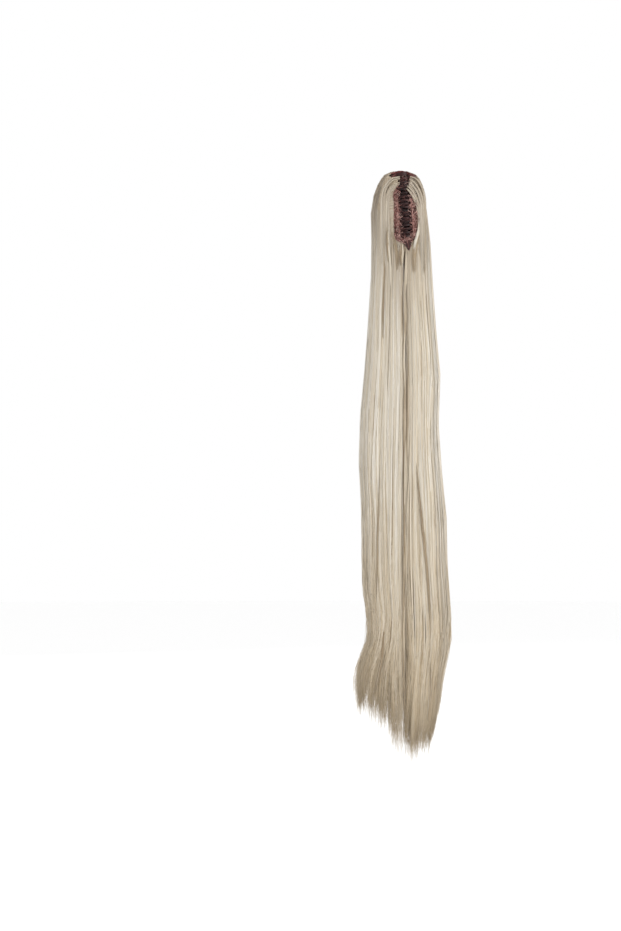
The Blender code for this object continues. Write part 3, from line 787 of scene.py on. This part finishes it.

# %% [markdown]
# Where one lock crosses another, deeper hair in shade shows as a darker line. The clearest of
# these seams are laid from short tables, as narrow bands of dark strands on the surface, which
# paint that shade.
# Lighter wisps wander across the parting and round the foot of the clip in the same way.
# Beside the clip the roots pile up, so there the seams of the head side stand higher.

# %% Seams between locks
# Each seam has a side, -1 for the head side, a shade, and rows of height and place across.
# The darkest tone paints shade between locks; the other tones are wisps of lighter hair.
SEAM_SHADE, MIDDLE, LIGHT, BRIGHT = 0.17, 0.25, 0.41, 0.64
SEAMS = (
    (-1, SEAM_SHADE, ((-0.300, -0.0008), (-0.450, -0.0012), (-0.560, -0.0022), (-0.660, 0.0005))),
    (-1, SEAM_SHADE, ((-0.330, -0.0320), (-0.420, -0.0345), (-0.500, -0.0365))),
    (-1, SEAM_SHADE, ((-0.320, 0.0130), (-0.400, 0.0215), (-0.470, 0.0290), (-0.540, 0.0330))),
    (-1, SEAM_SHADE, ((-0.530, -0.0265), (-0.575, -0.0285), (-0.625, -0.0390))),
    (-1, SEAM_SHADE, ((-0.580, 0.0330), (-0.620, 0.0325), (-0.660, 0.0290))),
    (-1, SEAM_SHADE, ((-0.060, -0.0245), (-0.110, -0.0275), (-0.180, -0.0280))),
    (1, SEAM_SHADE, ((-0.170, 0.0090), (-0.235, -0.0030), (-0.305, -0.0128), (-0.400, -0.0150))),
    (1, SEAM_SHADE, ((-0.400, -0.0150), (-0.450, -0.0166), (-0.515, -0.0166))),
    (1, SEAM_SHADE, ((-0.100, 0.0130), (-0.200, 0.0140), (-0.330, 0.0170))),
    (1, SEAM_SHADE, ((-0.530, 0.0100), (-0.580, 0.0160), (-0.640, 0.0250))),
    (1, SEAM_SHADE, ((-0.000, 0.0080), (-0.050, 0.0120), (-0.120, 0.0150))),
    (-1, SEAM_SHADE, ((0.006, -0.0262), (-0.020, -0.0268), (-0.048, -0.0262))),
    (-1, SEAM_SHADE, ((-0.041, 0.0112), (-0.062, 0.0108), (-0.090, 0.0112))),
    (-1, SEAM_SHADE, ((-0.030, 0.0240), (-0.060, 0.0247), (-0.098, 0.0262))),
    (-1, SEAM_SHADE, ((-0.044, -0.0056), (-0.060, -0.0062), (-0.080, -0.0058))),
    (-1, SEAM_SHADE, ((0.034, -0.0228), (0.024, -0.0256), (0.008, -0.0272))),
    (-1, SEAM_SHADE, ((0.022, 0.0212), (0.004, 0.0240), (-0.026, 0.0256))),
    (-1, SEAM_SHADE, ((-0.031, 0.0196), (-0.047, 0.0152), (-0.067, 0.0126), (-0.095, 0.0134))),
    (-1, SEAM_SHADE, ((-0.030, -0.0168), (-0.044, -0.0134), (-0.063, -0.0102), (-0.090, -0.0092))),
    (-1, SEAM_SHADE, ((-0.020, -0.0232), (-0.045, -0.0222), (-0.075, -0.0204))),
    (-1, BRIGHT, ((-0.008, 0.0198), (-0.030, 0.0178), (-0.046, 0.0134), (-0.066, 0.0106))),
    (-1, BRIGHT, ((-0.018, -0.0198), (-0.046, -0.0212), (-0.078, -0.0186), (-0.110, -0.0178))),
    (-1, BRIGHT, ((0.020, -0.0222), (0.000, -0.0240), (-0.030, -0.0244))),
    (-1, LIGHT, ((-0.044, -0.0042), (-0.060, -0.0026), (-0.080, -0.0042))),
    (-1, LIGHT, ((-0.050, 0.0016), (-0.085, 0.0008), (-0.120, -0.0006))),
    (-1, MIDDLE, ((-0.090, -0.0008), (-0.130, 0.0006), (-0.180, 0.0012))),
    (-1, LIGHT, ((-0.150, -0.0002), (-0.200, -0.0010), (-0.250, 0.0002))),
    (-1, MIDDLE, ((-0.210, 0.0010), (-0.260, 0.0000), (-0.320, -0.0014))),
    (-1, LIGHT, ((-0.290, 0.0004), (-0.340, 0.0012), (-0.400, -0.0004))),
    (-1, MIDDLE, ((-0.380, -0.0010), (-0.440, 0.0004), (-0.500, 0.0010))),
    (-1, MIDDLE, ((-0.480, 0.0002), (-0.540, -0.0012), (-0.600, 0.0004))),
)
SEAM_STRANDS = 15
SEAM_SPREAD = 0.0007
SEAM_RINGS = 9
SEAM_STAND = 0.0002
SEAM_SIZES = (0.00018, 0.00034)
SEAM_TONE = 0.13
CLIP_STAND = 0.0013
CLIP_STAND_TOP = -0.055
CLIP_STAND_END = -0.085


def seam_paths(side, rows, draw):
    """Paths of the strands of one seam, thinning out towards its ends."""
    heights, places = np.array(rows)[::-1].T
    middle, half = heights.mean(), (heights[-1] - heights[0]) / 2.0
    length = half * draw.uniform(0.5, 1.0, SEAM_STRANDS)
    centre = middle + (half - length) * draw.uniform(-1.0, 1.0, SEAM_STRANDS)
    run = np.linspace(1.0, -1.0, SEAM_RINGS)[None]
    height = centre[:, None] + length[:, None] * run
    aside = SEAM_SPREAD * draw.normal(0.0, 1.0, (SEAM_STRANDS, 1))
    x = np.interp(height, heights, places) + aside * (1.3 - 0.6 * np.abs(run))
    near = front_at(x, height)
    far = side_at(2, height) + side_at(3, height) - near
    stand = SEAM_STAND * (1.0 - 4.0 * np.abs(run) ** 4)
    if side > 0:
        return np.stack([x, far + stand, height], axis=2)
    by_clip = (height - CLIP_STAND_END) / (CLIP_STAND_TOP - CLIP_STAND_END)
    stand = stand + CLIP_STAND * by_clip.clip(0.0, 1.0) * (1.0 - np.abs(run) ** 4)
    return np.stack([x, near - stand, height], axis=2)


seam_draw = np.random.default_rng(61)
seams = np.concatenate([seam_paths(side, rows, seam_draw) for side, _, rows in SEAMS])
seam_run = np.abs(np.linspace(-1.0, 1.0, SEAM_RINGS))[None]
seam_sizes = seam_draw.uniform(*SEAM_SIZES, (len(seams), 1))
seam_radii = seam_sizes * (1.05 - 0.85 * seam_run**2)
seam_shades = np.repeat([shade for _, shade, _ in SEAMS], SEAM_STRANDS)
seam_shades = seam_shades + seam_draw.uniform(-SEAM_TONE, SEAM_TONE, len(seams))
seam_lengths = np.full_like(seam_radii, 0.5) + 0.02 * seam_run
seam_piece = tubes("hair_seams", seams, seam_radii, seam_shades, seam_lengths, band_hair)
finish_piece(seam_piece, "hair", "hair_tail")

# %% [markdown]
# Two smaller groups finish the hair. Inner strands fill the lower end, where one looks in
# between the tips. A few loose strands stand clear of the rest and soften the outline.

# %% Inner and loose strands
INNER_START = -0.46
INNER_RINGS = np.array([0.0, 0.25, 0.45, 0.65, 0.80, 0.92, 1.0])
INNER_LOCKS = 45
INNER_OUTS = (0.15, 0.96)
INNER_SHADE = 0.8
inner_lanes = np.linspace(-math.pi, math.pi, INNER_LOCKS, endpoint=False)
inner = strand_set(inner_lanes, WISPS_A_LOCK, (1.0,), 31)
inner["out"] = inner["draw"].uniform(*INNER_OUTS, inner["count"])
inner_bottom = tips_for(inner)
inner_height = INNER_START + (inner_bottom - INNER_START)[:, None] * INNER_RINGS
inner_share = (hair_top - inner_height) / (hair_top - inner_bottom)[:, None]
inner_lane, inner_out = strand_lanes(inner, inner_share, inner_height)
inner_x, inner_y = lane_point(inner_lane, inner_out, inner_height)
inner_paths = np.stack([inner_x, inner_y, inner_height], axis=2)
inner_radii = radii_for(inner, inner_share)
# Inner strands are darkened as painted shade inside the hair.
inner_shades = inner["shade"] * INNER_SHADE
inner_piece = tubes("hair_inner", inner_paths, inner_radii, inner_shades, inner_share, band_hair)
finish_piece(inner_piece, "hair", "hair_tail")

LOOSE_COUNT = 1050
LOOSE_SPREAD = 0.50
LOOSE_OUTS = (1.0, 1.0, 1.01, 1.02, 1.02, 1.03, 1.04, 1.05, 1.065, 1.08, 1.10)
loose_draw = np.random.default_rng(41)
loose_sides = math.pi / 2.0 * loose_draw.choice((-1.0, 1.0), LOOSE_COUNT)
loose_lanes = loose_sides * (1.0 + LOOSE_SPREAD * loose_draw.uniform(-0.6, 1.0, LOOSE_COUNT))
crown_strands("hair_loose", loose_lanes, 1, 42, LOOSE_OUTS, 1)

# %% [markdown]
# Between the strands one must never see through the hair, so a plain body of packed hair
# lies under them. It is a copy of the hair solid, merged, cut off above the tips and
# drawn in by one or two millimetres along its normals. Round the bare patch it goes in
# behind the net, and there its faces have the net's colours. On the very top of the clip
# they are dark red, as the net is in the photograph.

# %% Packed hair under the strands
UNDER_INSET = 0.0017
CROWN_INSET = 0.0008
FAR_FROM = 0.010
CLAW_FOOT = -0.060
NOTCH_FOOT = 0.042
NOTCH_EASE = 0.003
NOTCH_NEAR = 0.004
BEHIND_NET = 0.0025
BEHIND_MOST = -0.0100
WINDOW_EDGE = 0.003
WINDOW_CUTS = 3
WINDOW_OVER = 0.0012
UNDER_END = -0.62
UNDER_TAPER_START = -0.48
UNDER_TAPER = 0.55


def merged_copy(node):
    """A bmesh of a solid's loose triangles with its doubles merged."""
    shape = bmesh.new()
    shape.from_mesh(node.data)
    bmesh.ops.remove_doubles(shape, verts=shape.verts, dist=0.00001)
    return shape


def piece_from(name, shape, *materials):
    mesh = bpy.data.meshes.new(name)
    shape.to_mesh(mesh)
    shape.free()
    for material in materials:
        mesh.materials.append(material)
    made = bpy.data.objects.new(name, mesh)
    scene.collection.objects.link(made)
    return made


def noise_material(name, stretch, stops, bump, **values):
    """A material painted and roughened by one noise over the object's own coordinates."""
    made, tree, shader = principled(name, **values)
    place = tree.nodes.new("ShaderNodeTexCoord")
    scale = tree.nodes.new("ShaderNodeMapping")
    scale.inputs["Scale"].default_value = stretch
    noise = tree.nodes.new("ShaderNodeTexNoise")
    noise.inputs["Scale"].default_value = 1.0
    noise.inputs["Detail"].default_value = 5.0
    paint = ramp(tree, stops)
    relief = tree.nodes.new("ShaderNodeBump")
    relief.inputs["Distance"].default_value = bump
    tree.links.new(place.outputs["Object"], scale.inputs["Vector"])
    tree.links.new(scale.outputs["Vector"], noise.inputs["Vector"])
    tree.links.new(noise.outputs["Fac"], paint.inputs["Fac"])
    tree.links.new(paint.outputs["Color"], shader.inputs["Base Color"])
    tree.links.new(noise.outputs["Fac"], relief.inputs["Height"])
    tree.links.new(relief.outputs["Normal"], shader.inputs["Normal"])
    return made


# The packed hair is darker than the strands, as painted shade of the deep hair.
PACKED_SHADE_STOPS = (
    (0.3, screen(138, 122, 102)),
    (0.5, screen(168, 152, 130)),
    (0.7, screen(194, 179, 156)),
)
shaded_packed_hair = noise_material(
    "shaded_packed_hair", (900.0, 900.0, 14.0), PACKED_SHADE_STOPS, 0.0004, Roughness=0.6
)
NET_STOPS = (
    (0.30, screen(88, 51, 48)),
    (0.52, screen(180, 128, 119)),
    (0.72, screen(224, 172, 161)),
)
packed_by_net = noise_material(
    "packed_by_net", (700.0, 700.0, 420.0), NET_STOPS, 0.0012, Roughness=0.9
)
TOP_STOPS = ((0.3, screen(48, 18, 18)), (0.5, screen(104, 46, 44)), (0.7, screen(140, 76, 70)))
packed_top = noise_material(
    "packed_top", (500.0, 500.0, 500.0), TOP_STOPS, 0.0012, Roughness=0.9
)
TOP_FROM = Vector((-0.018, -0.030, 0.0405))
TOP_TO = Vector((0.0065, 0.0015, 0.060))
under = merged_copy(hair_node)
cut = bmesh.ops.bisect_plane(
    under,
    geom=under.verts[:] + under.edges[:] + under.faces[:],
    plane_co=(0.0, 0.0, UNDER_END),
    plane_no=(0.0, 0.0, -1.0),
    clear_outer=True,
)
rim_edges = [e for e in cut["geom_cut"] if isinstance(e, bmesh.types.BMEdge)]
bmesh.ops.edgeloop_fill(under, edges=rim_edges)
window_edges = [
    e
    for e in under.edges
    if e.calc_length() > WINDOW_EDGE and all(v.co.z > CLAW_FOOT and v.co.y < 0.0 for v in e.verts)
]
bmesh.ops.subdivide_edges(under, edges=window_edges, cuts=WINDOW_CUTS)
bmesh.ops.triangulate(under, faces=under.faces)
under.normal_update()


def inset_move(vertex):
    """Move of one vertex inwards; the hollow round the claw stays as it is."""
    place, normal = vertex.co, vertex.normal
    if place.z > CLAW_FOOT and normal.x * place.x + normal.y * place.y < 0.0:
        return Vector((0.0, 0.0, 0.0))
    share = 1.0 if place.y > FAR_FROM else min(1.0, max(0.0, place.z / CLAW_FOOT))
    return normal * -(CROWN_INSET + (UNDER_INSET - CROWN_INSET) * share)


moves = [inset_move(v) for v in under.verts]
by_net = set()
for vertex, move in zip(under.verts, moves):
    vertex.co += move
    x, y, z = vertex.co
    if y > NOTCH_NEAR:
        notch = NOTCH_DEPTH * math.exp(-(((x - NOTCH_X) / (2.0 * NOTCH_HALF)) ** 2))
        vertex.co.z -= notch * max(0.0, min(1.0, (z - NOTCH_FOOT) / NOTCH_EASE))
    left, right = (np.interp(z, ROOT_LINE[:, 0], ROOT_LINE[:, k]) for k in (1, 2))
    in_window = left - WINDOW_OVER < x < right + WINDOW_OVER
    if y < 0.0 and ROOT_LINE[0, 0] < z < ROOT_LINE[-1, 0] and in_window:
        vertex.co.y = max(y, min(net_depth(x, z) + BEHIND_NET, BEHIND_MOST))
        by_net.add(vertex)
    taper = max(0.0, (UNDER_TAPER_START - vertex.co.z) / (UNDER_TAPER_START - UNDER_END))
    keep = 1.0 - UNDER_TAPER * min(1.0, taper)
    vertex.co.x *= keep
    vertex.co.y *= keep
for face in under.faces:
    middle = face.calc_center_median()
    if all(low < value < high for low, value, high in zip(TOP_FROM, middle, TOP_TO)):
        face.material_index = 2
    elif any(vertex in by_net for vertex in face.verts):
        face.material_index = 1
packed_piece = piece_from("hair_packed", under, shaded_packed_hair, packed_by_net, packed_top)
finish_piece(packed_piece, "hair", "hair_tail")

# %% [markdown]
# The jaws are moulded plastic, so no edge is sharp. A copy of each jaw is merged, its flat
# neighbours are joined, and its edges get a small round. The plastic is nearly black with
# a warm red-brown in its gloss.

# %% Jaws
EDGE_ROUND = 0.00035
PLASTIC_STOPS = ((0.35, screen(20, 8, 8)), (0.7, screen(64, 22, 21)))
plastic = noise_material(
    "dark_plastic",
    (120.0, 120.0, 120.0),
    PLASTIC_STOPS,
    0.0001,
    Roughness=0.34,
    Specular_IOR_Level=0.22,
    Coat_Weight=0.06,
    Coat_Roughness=0.2,
)

for jaw_name in ("claw_jaw_left", "claw_jaw_right"):
    jaw = merged_copy(nodes[jaw_name])
    bmesh.ops.dissolve_limit(jaw, angle_limit=math.radians(1.5), verts=jaw.verts, edges=jaw.edges)
    sharp = [e for e in jaw.edges if e.is_manifold and e.calc_face_angle() > math.radians(35.0)]
    bmesh.ops.bevel(
        jaw,
        geom=sharp,
        offset=EDGE_ROUND,
        offset_type="OFFSET",
        affect="EDGES",
        segments=2,
        profile=0.5,
        material=-1,
        clamp_overlap=True,
    )
    piece = piece_from(jaw_name + "_rounded", jaw, plastic)
    piece.data.shade_smooth()
    piece.data.set_sharp_from_angle(angle=math.radians(50.0))
    finish_piece(piece, "claw", jaw_name)

# %% [markdown]
# The pin and the spring are plain steel wire, so the solids only need a better material.

# %% Steel wire
STEEL_STOPS = ((0.3, screen(150, 150, 154)), (0.7, screen(205, 205, 208)))
wire_steel = noise_material(
    "wire_steel", (300.0, 300.0, 2500.0), STEEL_STOPS, 0.00005, Metallic=1.0, Roughness=0.25
)
for wire_name in ("hinge_pin", "clip_spring"):
    nodes[wire_name].data.materials.clear()
    nodes[wire_name].data.materials.append(wire_steel)

# %% [markdown]
# The net is a knotted stretch cloth of fuzzy red-brown thread. Its wall is a copy of the
# solid, with a woven bump. Loose fuzz stands on the part that shows beside the teeth.

# %% Net wall
NET_DARK_START = 0.024
NET_DARK_END = 0.038
fuzzy_net = noise_material(
    "fuzzy_net", (700.0, 700.0, 420.0), NET_STOPS, 0.0012, Roughness=0.9, Sheen_Weight=0.2
)
net_tree = fuzzy_net.node_tree
net_shader = net_tree.nodes["Principled BSDF"]
net_place = net_tree.nodes.new("ShaderNodeTexCoord")
net_parts = net_tree.nodes.new("ShaderNodeSeparateXYZ")
net_dark = net_tree.nodes.new("ShaderNodeMapRange")
net_dark.inputs["From Min"].default_value = NET_DARK_START
net_dark.inputs["From Max"].default_value = NET_DARK_END
net_mix = net_tree.nodes.new("ShaderNodeMix")
net_mix.data_type = "RGBA"
net_mix.blend_type = "MULTIPLY"
net_mix.inputs["B"].default_value = screen(118, 72, 70)
net_colour = net_shader.inputs["Base Color"].links[0].from_socket
net_tree.links.new(net_place.outputs["Object"], net_parts.inputs["Vector"])
net_tree.links.new(net_parts.outputs["Z"], net_dark.inputs["Value"])
net_tree.links.new(net_dark.outputs["Result"], net_mix.inputs["Factor"])
net_tree.links.new(net_colour, net_mix.inputs["A"])
net_tree.links.new(net_mix.outputs["Result"], net_shader.inputs["Base Color"])


def cloth_piece(node_name, slot_name, material):
    """A merged copy of a cloth solid with its finish; prints its cloth area and returns the piece.
    """
    shape = merged_copy(nodes[node_name])
    area = sum(face.calc_area() for face in shape.faces) / 2.0
    print(node_name, "cloth", round(area * 1e4, 1), "square centimetres")
    return finish_piece(piece_from(node_name + "_cloth", shape, material), slot_name, node_name)


net_cloth = cloth_piece("claw_net", "net", fuzzy_net)
for side_name in ("left", "right"):
    cloth_piece("weft_band_" + side_name, "net", fuzzy_net)

# %% [markdown]
# Fuzz stands all over the bare part of the net. It is made of the same thin tubes, each
# bent its own way, and a ramp from dark to light pink gives every fibre a colour.

# %% Fuzz on the net
FUZZ_COUNT = 2600
FUZZ_RINGS = 5
FUZZ_RADIUS = 0.00026
FUZZ_OVER = 0.0006
FUZZ_HEIGHTS = (-0.046, 0.036)
FUZZ_LENGTHS = (0.0022, 0.0070)
FUZZ_RISES = (0.0006, 0.0030)
FUZZ_STOPS = (
    (0.0, screen(36, 17, 17)),
    (0.35, screen(126, 79, 73)),
    (0.7, screen(202, 150, 140)),
    (1.0, screen(228, 192, 180)),
)
fuzz_fibre, fuzz_tree, fuzz_shader = principled("net_fuzz", Roughness=0.7)
fuzz_uv = fuzz_tree.nodes.new("ShaderNodeUVMap")
fuzz_uv.uv_map = UV_NAME
fuzz_parts = fuzz_tree.nodes.new("ShaderNodeSeparateXYZ")
fuzz_paint = ramp(fuzz_tree, FUZZ_STOPS)
fuzz_tree.links.new(fuzz_uv.outputs["UV"], fuzz_parts.inputs["Vector"])
fuzz_tree.links.new(fuzz_parts.outputs["X"], fuzz_paint.inputs["Fac"])
fuzz_tree.links.new(fuzz_paint.outputs["Color"], fuzz_shader.inputs["Base Color"])

fuzz_draw = np.random.default_rng(51)
fuzz_z = fuzz_draw.uniform(*FUZZ_HEIGHTS, FUZZ_COUNT)
fuzz_left = np.interp(fuzz_z, ROOT_LINE[:, 0], ROOT_LINE[:, 1])
fuzz_right = np.interp(fuzz_z, ROOT_LINE[:, 0], ROOT_LINE[:, 2])
fuzz_x = fuzz_left + (fuzz_right - fuzz_left) * fuzz_draw.uniform(-0.02, 1.02, FUZZ_COUNT)
fuzz_y = np.array([skin_depth(x, z) for x, z in zip(fuzz_x, fuzz_z)])
heading = fuzz_draw.uniform(0.0, 2.0 * np.pi, FUZZ_COUNT)
bend = fuzz_draw.uniform(-2.2, 2.2, FUZZ_COUNT)
fuzz_length = fuzz_draw.uniform(*FUZZ_LENGTHS, FUZZ_COUNT)
fuzz_share = np.linspace(0.0, 1.0, FUZZ_RINGS)[None]
turned = heading[:, None] + bend[:, None] * fuzz_share
step_x = np.cos(turned) * fuzz_length[:, None] / (FUZZ_RINGS - 1)
step_z = np.sin(turned) * fuzz_length[:, None] / (FUZZ_RINGS - 1)
rise = fuzz_draw.uniform(*FUZZ_RISES, FUZZ_COUNT)[:, None] * fuzz_share * (2.0 - fuzz_share)
fuzz_path_z = fuzz_z[:, None] + np.cumsum(step_z, axis=1)
fuzz_rims = [np.interp(fuzz_path_z, ROOT_LINE[:, 0], ROOT_LINE[:, k]) for k in (1, 2)]
fuzz_path_x = fuzz_x[:, None] + np.cumsum(step_x, axis=1)
fuzz_path_x = np.clip(fuzz_path_x, fuzz_rims[0] - FUZZ_OVER, fuzz_rims[1] + FUZZ_OVER)
fuzz_paths = np.stack([fuzz_path_x, fuzz_y[:, None] - rise, fuzz_path_z], axis=2)
fuzz_size = FUZZ_RADIUS * fuzz_draw.uniform(0.6, 1.3, FUZZ_COUNT)
fuzz_radii = fuzz_size[:, None] * (1.1 - 0.6 * fuzz_share)
fuzz_shades = fuzz_draw.beta(0.75, 0.70, FUZZ_COUNT).clip(0.01, 0.99)
fuzz_piece = tubes("claw_net_fuzz", fuzz_paths, fuzz_radii, fuzz_shades, fuzz_share, fuzz_fibre)
finish_piece(fuzz_piece, "net", "claw_net")

# %% [markdown]
# Dark lacing threads run from the teeth out over the net to its rim, drooping a little.
# More lie about the top of the claw and across the teeth. The last ones meet in a dark
# point below the net. All are arcs between two places, so one helper makes them.

# %% Lacing threads
LACING_RINGS = 7
LACING_DROOP = 0.0030
LACING_HEIGHTS = np.arange(-0.041, 0.034, 0.0048)
LACING_STAND = 0.0009
TOOTH_COLUMN_HALF = 0.0062
CLAW_LEAN = math.tan(math.radians(4.0))
TOP_THREADS = 70
TOP_HEIGHTS = (0.030, 0.041)
TEETH_THREADS = 130
TEETH_HEIGHTS = (-0.041, 0.036)
TEETH_RISES = (0.0006, 0.0022)


def thread_arcs(starts, ends, droop, stand):
    """Arcs from starts to ends over the net; the rows are places across and heights."""
    run = np.linspace(0.0, 1.0, LACING_RINGS)[None]
    x = starts[:, :1] + (ends[:, :1] - starts[:, :1]) * run
    z = starts[:, 1:] + (ends[:, 1:] - starts[:, 1:]) * run
    z = z - droop[:, None] * 4.0 * run * (1.0 - run)
    y = np.array([[skin_depth(a, b) for a, b in zip(*row)] for row in zip(x, z)])
    y = np.clip(y, y.mean(axis=1, keepdims=True) - 0.0010, y.mean(axis=1, keepdims=True) + 0.0015)
    return np.stack([x, y - stand * (0.5 + 2.0 * run * (1.0 - run)), z], axis=2)


lacing_draw = np.random.default_rng(71)
lace_starts, lace_ends = [], []
for height in np.repeat(LACING_HEIGHTS, 3):
    column = -CLAW_LEAN * height
    for side, row in ((-1, 1), (1, 2)):
        start_z, end_z = height + lacing_draw.normal(0.0, 0.0012, 2)
        rim = np.interp(end_z, ROOT_LINE[:, 0], ROOT_LINE[:, row])
        inner_x = column + side * TOOTH_COLUMN_HALF * lacing_draw.uniform(0.6, 1.0)
        reach = lacing_draw.uniform(0.5, 1.05)
        lace_starts.append((inner_x, start_z))
        lace_ends.append((inner_x + (rim - inner_x) * reach, end_z))
for _ in range(TOP_THREADS):
    side = 1 if lacing_draw.random() < 0.6 else -1
    lace_starts.append((lacing_draw.normal(0.002, 0.0025), lacing_draw.uniform(*TOP_HEIGHTS)))
    away = side * lacing_draw.uniform(0.004, 0.011)
    lace_ends.append((lace_starts[-1][0] + away, lace_starts[-1][1] - abs(away) * 0.7))
for _ in range(TEETH_THREADS):
    height = lacing_draw.uniform(*TEETH_HEIGHTS)
    across = -CLAW_LEAN * height + lacing_draw.normal(0.0, 0.0036)
    away = lacing_draw.choice((-1.0, 1.0)) * lacing_draw.uniform(0.003, 0.010)
    lace_starts.append((across - away / 2.0, height))
    lace_ends.append((across + away / 2.0, height - lacing_draw.normal(0.0015, 0.0022)))
lace_count = len(lace_starts)
lace_droop = lacing_draw.uniform(-0.2, 1.0, lace_count) * LACING_DROOP
lacing = thread_arcs(np.array(lace_starts), np.array(lace_ends), lace_droop, LACING_STAND)
teeth_rise = lacing_draw.uniform(*TEETH_RISES, (TEETH_THREADS, 1))
teeth_bow = np.sin(np.linspace(0.0, np.pi, LACING_RINGS))
lacing[-TEETH_THREADS:, :, 1] = TEETH_FRONT - teeth_rise * teeth_bow

POINT_THREADS = 90
POINT_FOOT = (0.0046, -0.0545)
POINT_STAND = 0.0011
THREAD_SIZES = (0.00014, 0.00030)
POINT_DEPTHS = (-0.0205, -0.0220)
point_starts = np.stack(
    [
        lacing_draw.normal(0.0032, 0.0028, POINT_THREADS),
        lacing_draw.normal(-0.0448, 0.0014, POINT_THREADS),
    ],
    axis=1,
)
point_ends = np.array(POINT_FOOT) + lacing_draw.normal(0.0, 0.0007, (POINT_THREADS, 2))
point_threads = thread_arcs(point_starts, point_ends, np.zeros(POINT_THREADS), POINT_STAND)
point_threads[:, :, 1] = np.linspace(*POINT_DEPTHS, LACING_RINGS)
threads = np.concatenate([lacing, point_threads])
thread_radii = lacing_draw.uniform(*THREAD_SIZES, (len(threads), 1)) * np.ones(LACING_RINGS)
thread_shades = lacing_draw.beta(0.5, 6.0, len(threads)).clip(0.01, 0.9)
thread_run = np.linspace(0.0, 1.0, LACING_RINGS)[None]
thread_piece = tubes(
    "claw_net_threads", threads, thread_radii, thread_shades, thread_run, fuzz_fibre
)
finish_piece(thread_piece, "net", "claw_net")

# %% [markdown]
# The studio is a pale floor well below the tips, an even white sky, a large soft lamp in
# front to the right and another behind to the left, which lights the far side. The camera
# stands level with the middle of the picture, with a long lens, to the left of the hair.

# %% Studio
FLOOR_DROP = 0.06
FLOOR_RADIUS = 6.0
LAMP_SIZE = (1.2, 1.8)
PIXEL = 0.00128
PICTURE = (621, 931)
ORIGIN_IN_PICTURE = (404.5, 208.0)
CAMERA_DISTANCE = 4.0
SENSOR_HEIGHT = 24.0

floor_shape = bmesh.new()
bmesh.ops.create_circle(floor_shape, cap_ends=True, radius=FLOOR_RADIUS, segments=64)
floor_material, _, floor_shader = principled("studio_floor", Roughness=0.9)
floor_shader.inputs["Base Color"].default_value = (0.98, 0.98, 0.98, 1.0)
bmesh.ops.translate(floor_shape, verts=floor_shape.verts, vec=(0.0, 0.0, hair_bottom - FLOOR_DROP))
piece_from("studio_floor", floor_shape, floor_material)

world = bpy.data.worlds.new("studio")
scene.world = world
world.use_nodes = True
world.node_tree.nodes["Background"].inputs["Color"].default_value = (1.0, 1.0, 1.0, 1.0)
world.node_tree.nodes["Background"].inputs["Strength"].default_value = 1.0


def soft_lamp(name, place, target, size, power):
    data = bpy.data.lights.new(name, "AREA")
    data.shape = "RECTANGLE"
    data.size, data.size_y = size
    data.energy = power
    lamp = bpy.data.objects.new(name, data)
    scene.collection.objects.link(lamp)
    lamp.location = place
    lamp.rotation_euler = (Vector(target) - Vector(place)).to_track_quat("-Z", "Y").to_euler()
    return lamp


middle = (0.0, 0.0, -0.33)
soft_lamp("key_lamp", (1.1, -2.4, 0.6), middle, LAMP_SIZE, 23.0)
soft_lamp("far_key_lamp", (-1.2, 2.4, 0.6), middle, LAMP_SIZE, 25.0)

camera_data = bpy.data.cameras.new("product_camera")
camera = bpy.data.objects.new("product_camera", camera_data)
scene.collection.objects.link(camera)
camera_data.sensor_fit = "VERTICAL"
camera_data.sensor_height = SENSOR_HEIGHT
camera_data.lens = SENSOR_HEIGHT * CAMERA_DISTANCE / (PICTURE[1] * PIXEL)
camera_x = (PICTURE[0] / 2.0 - ORIGIN_IN_PICTURE[0]) * PIXEL
camera_z = (ORIGIN_IN_PICTURE[1] - PICTURE[1] / 2.0) * PIXEL
camera.location = (camera_x, -CAMERA_DISTANCE, camera_z)
camera.rotation_euler = (math.pi / 2.0, 0.0, 0.0)
scene.camera = camera
scene.view_settings.view_transform = "Standard"
print("lens", round(camera_data.lens, 1), "mm at", [round(v, 3) for v in camera.location])
